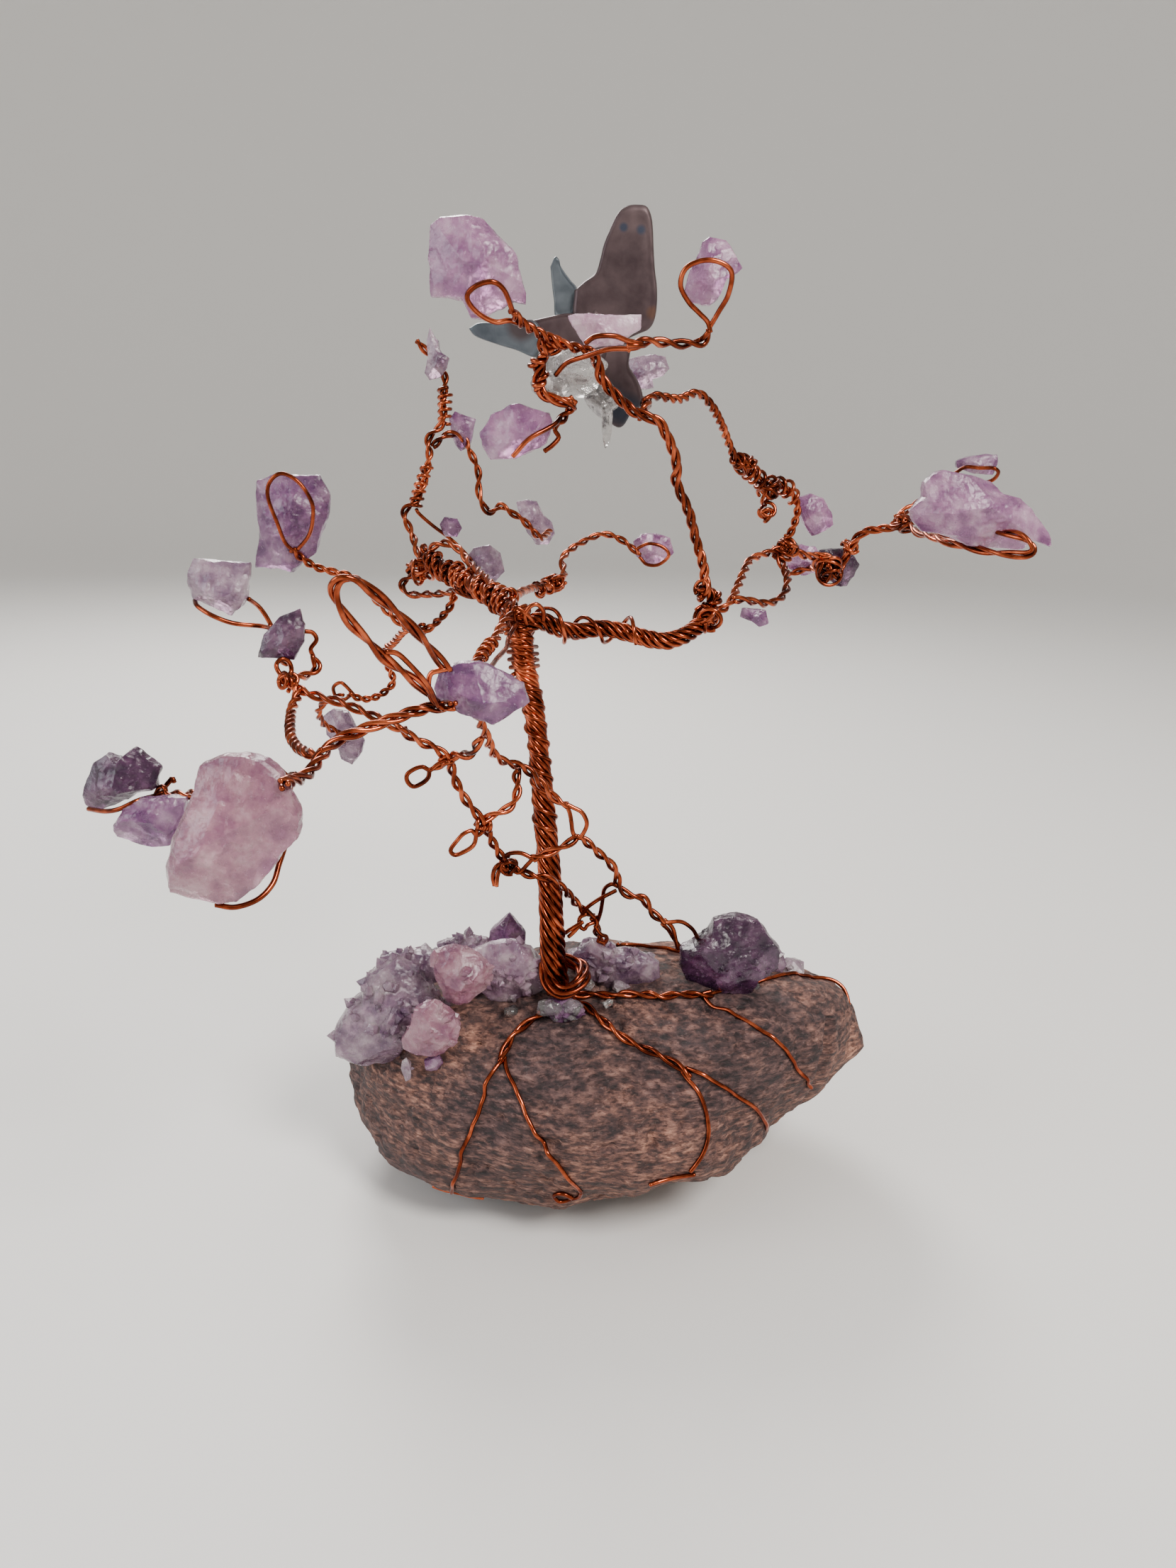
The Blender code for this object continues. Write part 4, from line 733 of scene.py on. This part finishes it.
def shard(middle, width, length, along, random):
    """A six-sided crystal: a jittered ring at each end of a prism, and a point beyond the second ring."""
    along = unit(along)
    u = unit(np.cross(along, random.normal(size=3)))
    v = np.cross(along, u)
    points = []
    for up, wide in ((-1.0, 0.8), (0.35, 1.0)):
        for k in range(6):
            a = k * math.pi / 3 + random.uniform(-0.25, 0.25)
            out = wide * width * random.uniform(0.8, 1.05)
            points.append(middle + (u * math.cos(a) + v * math.sin(a)) * out + along * up * length)
    points.append(middle + along * length + u * width * random.uniform(-0.3, 0.3))
    return hull(points)


def chunk(parts, middle, half, seed):
    """A broken block, the hull of seeded points on an ellipsoid, with little crystals on it."""
    random = np.random.default_rng(seed)
    d = unit(random.normal(size=(13, 3)))
    parts.add(hull(middle + d * half * random.uniform(0.95, 1.2, (13, 1))))
    for _ in range(8 if max(half) > 2.4 else 5):
        n = random.normal(size=3)
        n[2] = abs(n[2]) * 0.7 - 0.15
        n = unit(n)
        size = min(half.min(), 2.4) * random.uniform(0.35, 0.75)
        place = middle + n * half * random.uniform(0.6, 0.8)
        parts.add(shard(place, size * 0.6, size, n + random.normal(size=3) * 0.6, random))


def crust(parts, points, middle, count, size, seed):
    """Small crystals on a lump, at seeded points of its front and top, each pointing away from its middle."""
    random = np.random.default_rng(seed)
    out = unit(points - middle)
    open_side = np.nonzero((out[:, 1] < 0.35) & (out[:, 2] > -0.55))[0]
    for i in random.choice(open_side, count, replace=False):
        half = size * random.uniform(0.45, 1.0)
        place = middle + (points[i] - middle) * 0.93
        parts.add(shard(place, half * 0.6, half, out[i] + random.normal(size=3) * 0.5, random))


def sheet(outline, middle, y, thick, bend, seed):
    """A thin plate with a rounded rim: its outline shrunk towards the middle in rings, front and back,
    y = y0 +- thick / 2 * sqrt(1 - t^6), sloping by bend along x and z."""
    closed = np.vstack([outline, outline[:1]])
    around = smooth_path(np.insert(closed, 1, 0, axis=1), 0.25)[:-1][:, [0, 2]]
    centre = np.array(middle, float)
    levels = np.array([0.15, 0.3, 0.45, 0.6, 0.75, 0.85, 0.92, 0.96, 0.985, 1.0])
    rings = []
    for sign, order in ((-1, levels), (1, levels[-2::-1])):
        for t in order:
            flat = centre + (around - centre) * t
            half = thick / 2 * math.sqrt(max(0.0, 1 - t ** 6))
            slope = bend[0] * (flat - centre)[:, 0] + bend[1] * (flat - centre)[:, 1]
            rim = 0.22 * np.exp(-((t - 0.93) / 0.04) ** 2)
            grain = 0.05 * noise(np.insert(flat, 2, 3.0 * sign, axis=1) * 0.9, seed)
            rings.append(np.stack([flat[:, 0], y + slope + sign * (half + rim) + grain, flat[:, 1]], 1))
    ends = [[centre[0], y - thick / 2, centre[1]], [centre[0], y + thick / 2, centre[1]]]
    return np.vstack(rings + [ends]), ring_faces(len(rings), len(around))


# ---------------------------------------------------------------- materials

def new_material(name, metallic, roughness):
    material = bpy.data.materials.new(name)
    material.use_nodes = True
    tree = material.node_tree
    shader = tree.nodes["Principled BSDF"]
    shader.inputs["Metallic"].default_value = metallic
    shader.inputs["Roughness"].default_value = roughness
    return material, tree, shader


def noise_node(tree, scale, detail, stretch=(1, 1, 1), turn=(0, 0, 0)):
    """A noise over object coordinates, in features per metre."""
    where = tree.nodes.new("ShaderNodeTexCoord")
    mapping = tree.nodes.new("ShaderNodeMapping")
    mapping.inputs["Scale"].default_value = stretch
    mapping.inputs["Rotation"].default_value = turn
    tree.links.new(where.outputs["Object"], mapping.inputs["Vector"])
    texture = tree.nodes.new("ShaderNodeTexNoise")
    texture.inputs["Scale"].default_value = scale
    texture.inputs["Detail"].default_value = detail
    texture.inputs["Roughness"].default_value = 0.6
    tree.links.new(mapping.outputs["Vector"], texture.inputs["Vector"])
    return texture.outputs["Fac"]


def ramp_node(tree, source, *stops):
    """Colours along the source's value. Each stop is (place, colour), and a plain number is a grey."""
    ramp = tree.nodes.new("ShaderNodeValToRGB")
    tree.links.new(source, ramp.inputs["Fac"])
    while len(ramp.color_ramp.elements) < len(stops):
        ramp.color_ramp.elements.new(0.5)
    for element, (place, colour) in zip(ramp.color_ramp.elements, stops):
        element.position = place
        element.color = (*(colour if isinstance(colour, tuple) else (colour,) * 3), 1.0)
    return ramp.outputs["Color"]


def mix_node(tree, factor, a, b, blend="MIX"):
    """One colour over another. The factor may be a number, and b a colour."""
    mix = tree.nodes.new("ShaderNodeMix")
    mix.data_type = "RGBA"
    mix.blend_type = blend
    if isinstance(factor, float):
        mix.inputs[0].default_value = factor
    else:
        tree.links.new(factor, mix.inputs[0])
    tree.links.new(a, mix.inputs[6])
    if isinstance(b, tuple):
        mix.inputs[7].default_value = (*b, 1.0)
    else:
        tree.links.new(b, mix.inputs[7])
    return mix.outputs[2]


def join_shader(tree, shader, colour, height, strength, distance, gloss=None):
    """Leads the colour, a bump of this height and, where given, the roughness to the shader."""
    tree.links.new(colour, shader.inputs["Base Color"])
    if gloss:
        tree.links.new(gloss, shader.inputs["Roughness"])
    bump = tree.nodes.new("ShaderNodeBump")
    bump.inputs["Strength"].default_value = strength
    bump.inputs["Distance"].default_value = distance
    tree.links.new(height, bump.inputs["Height"])
    tree.links.new(bump.outputs["Normal"], shader.inputs["Normal"])


def copper_material():
    material, tree, shader = new_material("copper_wire", 1.0, 0.3)
    colour = ramp_node(
        tree, noise_node(tree, 260, 3),
        (0.30, (0.050, 0.009, 0.005)), (0.48, (0.21, 0.038, 0.015)), (0.68, (0.55, 0.125, 0.050)))
    gloss = ramp_node(tree, noise_node(tree, 700, 2), (0.3, 0.13), (0.7, 0.30))
    join_shader(tree, shader, colour, noise_node(tree, 2500, 2), 0.12, 0.00004, gloss)
    return material


def stone_material():
    """Layered rock: a ramp along fine layers, darkened by specks, patches and bands, with pale grains."""
    material, tree, shader = new_material("gneiss", 0.0, 0.78)
    tilt = (0.0, math.radians(7), 0.0)
    layers = noise_node(tree, 1.0, 14, (480, 520, 1500), tilt)
    colour = ramp_node(
        tree, layers, (0.32, (0.016, 0.009, 0.010)), (0.42, (0.060, 0.034, 0.034)),
        (0.50, (0.130, 0.074, 0.066)), (0.58, (0.235, 0.138, 0.115)), (0.70, (0.43, 0.27, 0.215)))
    specks = noise_node(tree, 1.0, 12, (900, 900, 2700), tilt)
    dark = ramp_node(tree, specks, (0.40, (0.26, 0.20, 0.21)), (0.50, 1.0))
    colour = mix_node(tree, 0.8, colour, dark, "MULTIPLY")
    grains = noise_node(tree, 1.0, 6, (1500, 1500, 2600), tilt)
    light = ramp_node(tree, grains, (0.60, 0.0), (0.72, (0.16, 0.125, 0.11)))
    colour = mix_node(tree, 1.0, colour, light, "SCREEN")
    patches = ramp_node(tree, noise_node(tree, 48, 9), (0.38, (0.48, 0.45, 0.52)), (0.60, (1.32, 1.10, 0.95)))
    colour = mix_node(tree, 0.9, colour, patches, "MULTIPLY")
    bands = noise_node(tree, 1.0, 8, (110, 120, 420), tilt)
    streak = ramp_node(tree, bands, (0.38, (0.55, 0.53, 0.56)), (0.56, (1.15, 1.08, 1.02)))
    colour = mix_node(tree, 0.7, colour, streak, "MULTIPLY")
    gloss = ramp_node(tree, layers, (0.3, 0.55), (0.6, 0.85))
    join_shader(tree, shader, colour, mix_node(tree, 0.5, layers, specks), 0.9, 0.0011, gloss)
    return material


def amethyst_material(name, deep, pale, frost, clear=0.55):
    """Cloudy quartz, from its deep colour through its pale one to frost, with fine white veins."""
    material, tree, shader = new_material(name, 0.0, 0.2)
    veil, fine = noise_node(tree, 330, 8), noise_node(tree, 1500, 6)
    base = ramp_node(tree, veil, (0.38, deep), (0.52, pale), (0.68, frost))
    white = ramp_node(tree, fine, (0.60, 0.0), (0.80, (0.30, 0.26, 0.29)))
    colour = mix_node(tree, 1.0, base, white, "SCREEN")
    gloss = ramp_node(tree, fine, (0.40, 0.05), (0.66, 0.34))
    shader.inputs["Transmission Weight"].default_value = clear
    shader.inputs["IOR"].default_value = 1.54
    shader.inputs["Subsurface Weight"].default_value = 0.25
    shader.inputs["Subsurface Radius"].default_value = (1.0, 0.7, 1.1)
    shader.inputs["Subsurface Scale"].default_value = 0.0015
    join_shader(tree, shader, colour, mix_node(tree, 0.4, veil, fine), 0.6, 0.0004, gloss)
    return material


def butterfly_material(name, dark, light, spots):
    """Painted metal. Each spot is (place, radius, colour), in metres."""
    material, tree, shader = new_material(name, 0.55, 0.45)
    tone = noise_node(tree, 170, 5)
    colour = ramp_node(tree, tone, (0.35, dark), (0.68, light))
    where = tree.nodes.new("ShaderNodeTexCoord")
    for place, radius, tint in spots:
        apart = tree.nodes.new("ShaderNodeVectorMath")
        apart.operation = "DISTANCE"
        tree.links.new(where.outputs["Object"], apart.inputs[0])
        apart.inputs[1].default_value = place
        scaled = tree.nodes.new("ShaderNodeMath")
        scaled.operation = "MULTIPLY"
        scaled.inputs[1].default_value = 0.5 / radius
        tree.links.new(apart.outputs["Value"], scaled.inputs[0])
        inside = ramp_node(tree, scaled.outputs[0], (0.30, 0.85), (0.55, 0.0))
        colour = mix_node(tree, inside, colour, tint)
    gloss = ramp_node(tree, tone, (0.3, 0.34), (0.7, 0.55))
    join_shader(tree, shader, colour, noise_node(tree, 900, 3), 0.15, 0.0001, gloss)
    return material


def glue_material():
    material, tree, shader = new_material("clear_glue", 0.0, 0.08)
    tone = noise_node(tree, 650, 4)
    colour = ramp_node(tree, tone, (0.35, (0.52, 0.50, 0.50)), (0.6, (0.86, 0.84, 0.82)))
    shader.inputs["Transmission Weight"].default_value = 0.92
    shader.inputs["IOR"].default_value = 1.45
    join_shader(tree, shader, colour, tone, 0.5, 0.0006)
    return material


COPPER = copper_material()
AMETHYST = {colour: amethyst_material(f"amethyst_{colour}", *tones) for colour, tones in {
    "lilac": ((0.24, 0.090, 0.22), (0.44, 0.22, 0.38), (0.70, 0.48, 0.61)),
    "grey": ((0.17, 0.092, 0.17), (0.34, 0.22, 0.30), (0.60, 0.47, 0.53)),
    "frosted": ((0.52, 0.30, 0.42), (0.66, 0.44, 0.55), (0.80, 0.64, 0.70), 0.2),
    "pale": ((0.26, 0.145, 0.23), (0.43, 0.28, 0.37), (0.66, 0.52, 0.57), 0.45),
    "clear": ((0.34, 0.22, 0.31), (0.52, 0.41, 0.47), (0.76, 0.68, 0.70), 0.6),
    "pink": ((0.28, 0.110, 0.19), (0.45, 0.22, 0.29), (0.66, 0.43, 0.48)),
    "purple": ((0.115, 0.034, 0.125), (0.27, 0.120, 0.25), (0.52, 0.35, 0.47)),
    "dark": ((0.026, 0.006, 0.030), (0.085, 0.026, 0.078), (0.26, 0.14, 0.23))}.items()}


def finish_amethyst(made, name, colour, node):
    """Amethyst keeps its flat facets and takes the material of its colour."""
    finish_piece(made.make(name, AMETHYST[colour], smooth=False), node)


# ---------------------------------------------------------------- the stone and the trunk
stone = Parts()
stone.add(stone_mesh())
finish_piece(stone.make("stone", stone_material()), "stone_base")

TRUNK = rows("""
    0.4 -0.6 35, 0 0 36.5, -0.6 0 41, -1 0 46.5, -1.5 1 54, -2.5 2 62.5, -3 2.5 67.5, -4.5 4 78, -6 4.5 84,
    -6.5 5 88, -7.5 5.5 92""")
trunk = Parts()
path = smooth_path(TRUNK, 0.25)
height = path[:, 2]
pitch = -np.interp(height, [36, 55, 75, 84, 92], [17.0, 14.0, 9.0, 6.0, 3.5])
lay = np.interp(height, [36, 50, 60, 72, 82, 90], [1.55, 1.5, 1.35, 1.12, 1.2, 1.4])
strands(trunk, path, 9, 0.36, lay, pitch, 2)
trunk.add(tube(path, lay - 0.32, 12))
upper = (height > 60) & (height < 85)
strands(trunk, path[upper], 2, 0.32, lay[upper] + 0.3, -5.2, 6, 1.0, 0.1)
strands(trunk, path[height > 83], 1, 0.33, 1.85, -0.95, 7, 0.0, 0.2)
finish_piece(trunk.make("trunk_rope", COPPER), "trunk")

# ---------------------------------------------------------------- the wires
bough, rear = (
    smooth_path(read_wires(WIRES[name][1])[0][1], 0.2) for name in ("right_bough_rope", "left_rear_rope"))
# the knots and windings on each piece: what it is, where, and its sizes and seed
KNOTS = {
    "right_bough_rope": [
        (strands, bough[: len(bough) * 6 // 10], 1, WRAP_RADIUS, 1.9, 6.5, 3, 2.0, 0.35),
        (wound_pair, "18.8 11 89.4, 20.4 11 91, 21 11 93.4, 19.6 10.6 95", 1.2, 2.6, 33),
        (tangle, (20.5, 11, 91), 2.0, 5, 5), (tangle, (19.3, 10.5, 95.5), 1.2, 3, 6)],
    "left_rear_rope": [
        (wound_pair, rear[len(rear) // 10::8], 1.35, 8.5, 4),
        (wound_pair, rear[len(rear) // 10::8], 1.45, 6.5, 7),
        (wound_pair, rear[len(rear) // 3::8], 1.7, 9.5, 5),
        (wound_pair, "-24 36 96.6, -26.4 38 95.4, -27 38.6 92.6, -25 37 91", 0.9, 4.5, 6),
        (tangle, (-25, 37, 93), 2.4, 3, 8), (tangle, (-16, 24, 93.5), 2.0, 3, 9)],
    "upper_left_wire": [
        (wraps, "-27.5 44 103, -26.5 45 107, -25.5 46 110", 0.95, 1.25, 5),
        (wraps, "-23 48.5 116.5, -23 49 119, -23 49.6 122.5", 0.95, 1.2, 6)],
    "upper_right_wire": [
        (wraps, "24.5 25 113.5, 27 28 111.5, 29.5 30 109.8", 1.1, 1.5, 7),
        (tangle, (26, 27, 112.3), 1.3, 4, 22),
        (wraps, "30.5 30.5 109.5, 33.5 32.3 109, 35.5 33.5 107", 1.1, 1.6, 8),
        (tangle, (30.3, 30.5, 108.6), 1.6, 5, 23), (tangle, (31, 31, 105), 1.3, 3, 24),
        (tangle, (34.8, 35.5, 99.5), 1.7, 6, 9)],
    "far_right_wire": [
        (tangle, (43.3, 41, 95.5), 2.2, 9, 11), (tangle, (47, 42, 99), 1.2, 4, 12),
        (tangle, (54.5, 37, 103.5), 1.5, 4, 13)],
    "middle_rear_wire": [
        (wound_pair, "-6.3 33 91, -4.5 36.5 91, -2.6 41 91.6", 0.9, 2.6, 9),
        (tangle, (-3.3, 39, 91.5), 1.6, 5, 14)],
    "trunk_top_wire": [
        (wound_pair, "-6.6 5 88, -7.2 5.4 90, -8 6.4 92, -10.4 10.5 93", 1.7, 4.2, 15),
        (tangle, (-7.5, 5.5, 91), 2.1, 5, 16)],
    "crown_hanger_wire": [
        (wound_pair, "-2.4 -4.4 127.6, -4 -4 126.4, -4.5 -3 124.4, -4.1 -2.2 122", 0.75, 2.6, 10),
        (tangle, (-3.4, -4.4, 127.2), 1.4, 3, 21)],
    "front_stem_wire": [(wraps, "-9.6 -9 89.7, -10.2 -13 89.2, -10.6 -16.5 88.4", 0.7, 1.9, 11)],
    "left_branch_wire": [(tangle, (-36.3, -8.5, 83.3), 1.0, 4, 17)],
    "left_ladder_wire": [
        (tangle, (-10.8, -7, 63.8), 0.9, 3, 18), (tangle, (-7.4, -4.3, 56.8), 1.1, 4, 19),
        (tangle, (-15.2, -10, 73.6), 0.9, 2, 20)],
}
for name, (node, wires) in WIRES.items():
    made = Parts()
    for k, (kind, points) in enumerate(read_wires(wires)):
        wire(made, kind, points, len(name) + 7 * k)
    for shape, where, *sizes in KNOTS.get(name, ()):
        shape(made, rows(where) if isinstance(where, str) else where, *sizes)
    finish_piece(made.make(name, COPPER), node)

for name, (node, wires) in ROOTS.items():
    made = Parts()
    for k, (head, points) in enumerate(read_wires(wires)):
        kind, lift = head.split()
        wire(made, kind, on_stone(smooth_path(points, 1.5), float(lift)), len(name) + 5 * k)
    finish_piece(made.make(name, COPPER), node)

# ---------------------------------------------------------------- the crystals
for name, (node, y, depth, seed, colour, outline) in GEMS.items():
    made = Parts()
    points, faces = gem(rows(outline), y, depth, seed)
    made.add((points, faces))
    if name in CRUSTED:
        crust(made, points, points.mean(0), *CRUSTED[name], seed)
    finish_amethyst(made, f"amethyst_{name}", colour, node)

for name, (node, colours) in DRUSES.items():
    for colour, chunks in colours.items():
        made = Parts()
        for middle, half, seed in lumps(chunks):
            chunk(made, middle, half, seed)
        finish_amethyst(made, f"druse_{name}_{colour}", colour, node)
        node = None  # the first colour alone stands for the CAD node

# ---------------------------------------------------------------- the butterfly
BLUE_SPOT, RUST_SPOT, SLATE = (0.022, 0.034, 0.060), (0.115, 0.058, 0.038), (0.020, 0.026, 0.040)
DARK_WING = butterfly_material("butterfly_dark", (0.048, 0.030, 0.034), (0.098, 0.066, 0.068), [
    ((0.0059, 0.0113, 0.1431), 0.0007, BLUE_SPOT), ((0.0083, 0.0113, 0.1429), 0.0008, BLUE_SPOT),
    ((0.0104, 0.0113, 0.1325), 0.0011, RUST_SPOT),
    ((0.0045, 0.0109, 0.1205), 0.0030, SLATE), ((0.0075, 0.0109, 0.1195), 0.0026, SLATE)])
GREY_WING = butterfly_material("butterfly_grey", (0.040, 0.052, 0.066), (0.115, 0.135, 0.150), [
    ((-0.0075, 0.0088, 0.1300), 0.0022, (0.055, 0.036, 0.036))])
WING = rows("""
    -0.5 135, 0.9 136.2, 2.3 137.3, 2.9 139.1, 3.3 140.9, 4 142.7, 5.1 144.9, 6.3 145.8, 7.7 146, 8.9 145.8,
    9.6 144.6, 9.9 142.9, 10.1 140.7, 10.4 138.1, 10.8 135.8, 10.9 133.6, 10.7 131.8, 10.1 130.6, 8.9 129.9,
    4.5 128.5, -0.2 131""")
HIND = rows("""
    2.4 128.5, 7.1 128.5, 7.4 125.6, 8.4 124.1, 9.3 122.4, 9.5 120.5, 8.1 119.4, 7 117.6, 6 117.3,
    4.5 118.3, 3.4 119.4, 2.6 121.3, 2 124.1""")
LEFT_BLADE = rows("""
    -14.7 129.5, -13.2 130.3, -10 130.3, -6.2 130.9, -4.7 129.3, -5.1 126.5, -5.9 126.1, -8.1 126.9,
    -10.5 127.5, -13.7 128.5""")
UPPER_BLADE = rows("""
    -10.4 129.9, -6.2 130.9, -3.8 131.5, -1.2 132, 1.5 131.7, 2.4 129.5, 2 126.5, -1.2 126, -4.2 127.4,
    -7.6 128.7""")
FIN = rows("""
    -3.9 138, -3.3 139.3, -2.7 138.9, -2.4 138, -1.1 136.4, -0.1 135.1, -0.5 132, -2.9 131.4, -3.3 133.7,
    -3.6 135.5""")
BODY_OUTLINE = rows("1.2 131, 2.4 132.6, 3.8 131, 4.2 127, 3 123, 1.8 124, 1 127.5")
wing = Parts()
wing.add(sheet(WING, (6.6, 135.5), 12, 0.9, (0.05, 0.0), 4))
wing.add(sheet(HIND, (5.6, 123), 11.6, 1.0, (0.05, 0.05), 5))
wing.add(sheet(UPPER_BLADE, (-2.5, 129.4), 10.6, 0.9, (0.0, 0.05), 6))
wing.add(gem(BODY_OUTLINE, 11.4, 1.5, 71))
finish_piece(wing.make("butterfly_wings", DARK_WING), "butterfly")
grey = Parts()
grey.add(sheet(LEFT_BLADE, (-9, 128.8), 9.2, 0.9, (-0.06, 0.0), 7))
grey.add(sheet(FIN, (-2.2, 134.8), 12.6, 0.7, (0.0, 0.0), 8))
finish_piece(grey.make("butterfly_blades", GREY_WING), None)

# ---------------------------------------------------------------- glue and chips of glass
glue = Parts()
for middle, half, seed in lumps(GLUE_DROPS):
    d, faces = ball(4)
    r = 1 + 0.22 * fbm(d * 1.6 + seed, 3, seed)
    glue.add((middle + d * r[:, None] * half, faces))
for middle, half, seed in lumps(GLASS_CHIPS):
    random = np.random.default_rng(seed)
    glue.add(shard(middle, half[0], half[2], random.normal(size=3) + np.array([0.6, 0, 0.6]), random))
finish_piece(glue.make("glue_drops", glue_material()), None)

# ---------------------------------------------------------------- floor, light, camera
# The floor is a wide dish: flat, then a quarter circle up to a wall, turned about Z.
FLOOR_SIDES = 96
turn = SWEEP * np.arange(FLOOR_SIDES) / FLOOR_SIDES
arc = np.linspace(0, math.pi / 2, 13)
across = np.concatenate([[0.3, 0.7], 0.9 + 0.5 * np.sin(arc), [1.4]])
up = np.concatenate([[0.0, 0.0], 0.5 - 0.5 * np.cos(arc), [1.5]])
dish = np.stack([
    across[:, None] * np.cos(turn)[None], across[:, None] * np.sin(turn)[None],
    np.broadcast_to(up[:, None], (len(up), FLOOR_SIDES))], -1).reshape(-1, 3)
start = np.arange(len(up) - 1)[:, None] * FLOOR_SIDES
k = np.arange(FLOOR_SIDES)[None]
after = (k + 1) % FLOOR_SIDES
quads = np.stack([start + k, start + FLOOR_SIDES + k, start + FLOOR_SIDES + after, start + after], -1)
floor_mesh = bpy.data.meshes.new("floor")
floor_mesh.from_pydata(dish.tolist(), [], quads.reshape(-1, 4).tolist() + [list(range(FLOOR_SIDES))])
floor_mesh.polygons.foreach_set("use_smooth", [True] * len(floor_mesh.polygons))
floor = bpy.data.objects.new("floor", floor_mesh)
bpy.context.scene.collection.objects.link(floor)
floor_material, _, floor_shader = new_material("floor_paint", 0.0, 0.6)
floor_shader.inputs["Base Color"].default_value = (0.80, 0.79, 0.77, 1.0)
floor_mesh.materials.append(floor_material)

world = bpy.data.worlds.new("studio")
bpy.context.scene.world = world
world.use_nodes = True
sky = world.node_tree.nodes["Background"]
sky.inputs["Color"].default_value = (0.80, 0.78, 0.76, 1.0)
sky.inputs["Strength"].default_value = 0.8


def area_light(name, place, size, power, colour):
    """A round lamp that faces the middle of the tree."""
    data = bpy.data.lights.new(name, "AREA")
    data.shape = "DISK"
    data.size = size
    data.energy = power
    data.color = colour
    light = bpy.data.objects.new(name, data)
    bpy.context.scene.collection.objects.link(light)
    light.location = place
    light.rotation_euler = (Vector((0.0, 0.0, 0.08)) - Vector(place)).to_track_quat("-Z", "Y").to_euler()


area_light("key", (0.28, -0.35, 0.50), 0.22, 4.2, (1.0, 0.95, 0.90))
area_light("fill", (-0.50, -0.25, 0.28), 0.40, 1.8, (0.92, 0.95, 1.0))
area_light("rim", (-0.15, 0.45, 0.42), 0.25, 3.0, (1.0, 0.97, 0.94))

camera_data = bpy.data.cameras.new("camera")
camera_data.lens = 27.02
camera_data.sensor_width = 36.0
camera_data.clip_start = 0.005
camera = bpy.data.objects.new("camera", camera_data)
bpy.context.scene.collection.objects.link(camera)
camera.matrix_world = Matrix((
    (0.9994, -0.0351, 0.0, 0.00373),
    (0.0103, 0.2938, -0.9558, -0.162),
    (0.0336, 0.9552, 0.2940, 0.1179),
    (0.0, 0.0, 0.0, 1.0)))
bpy.context.scene.camera = camera
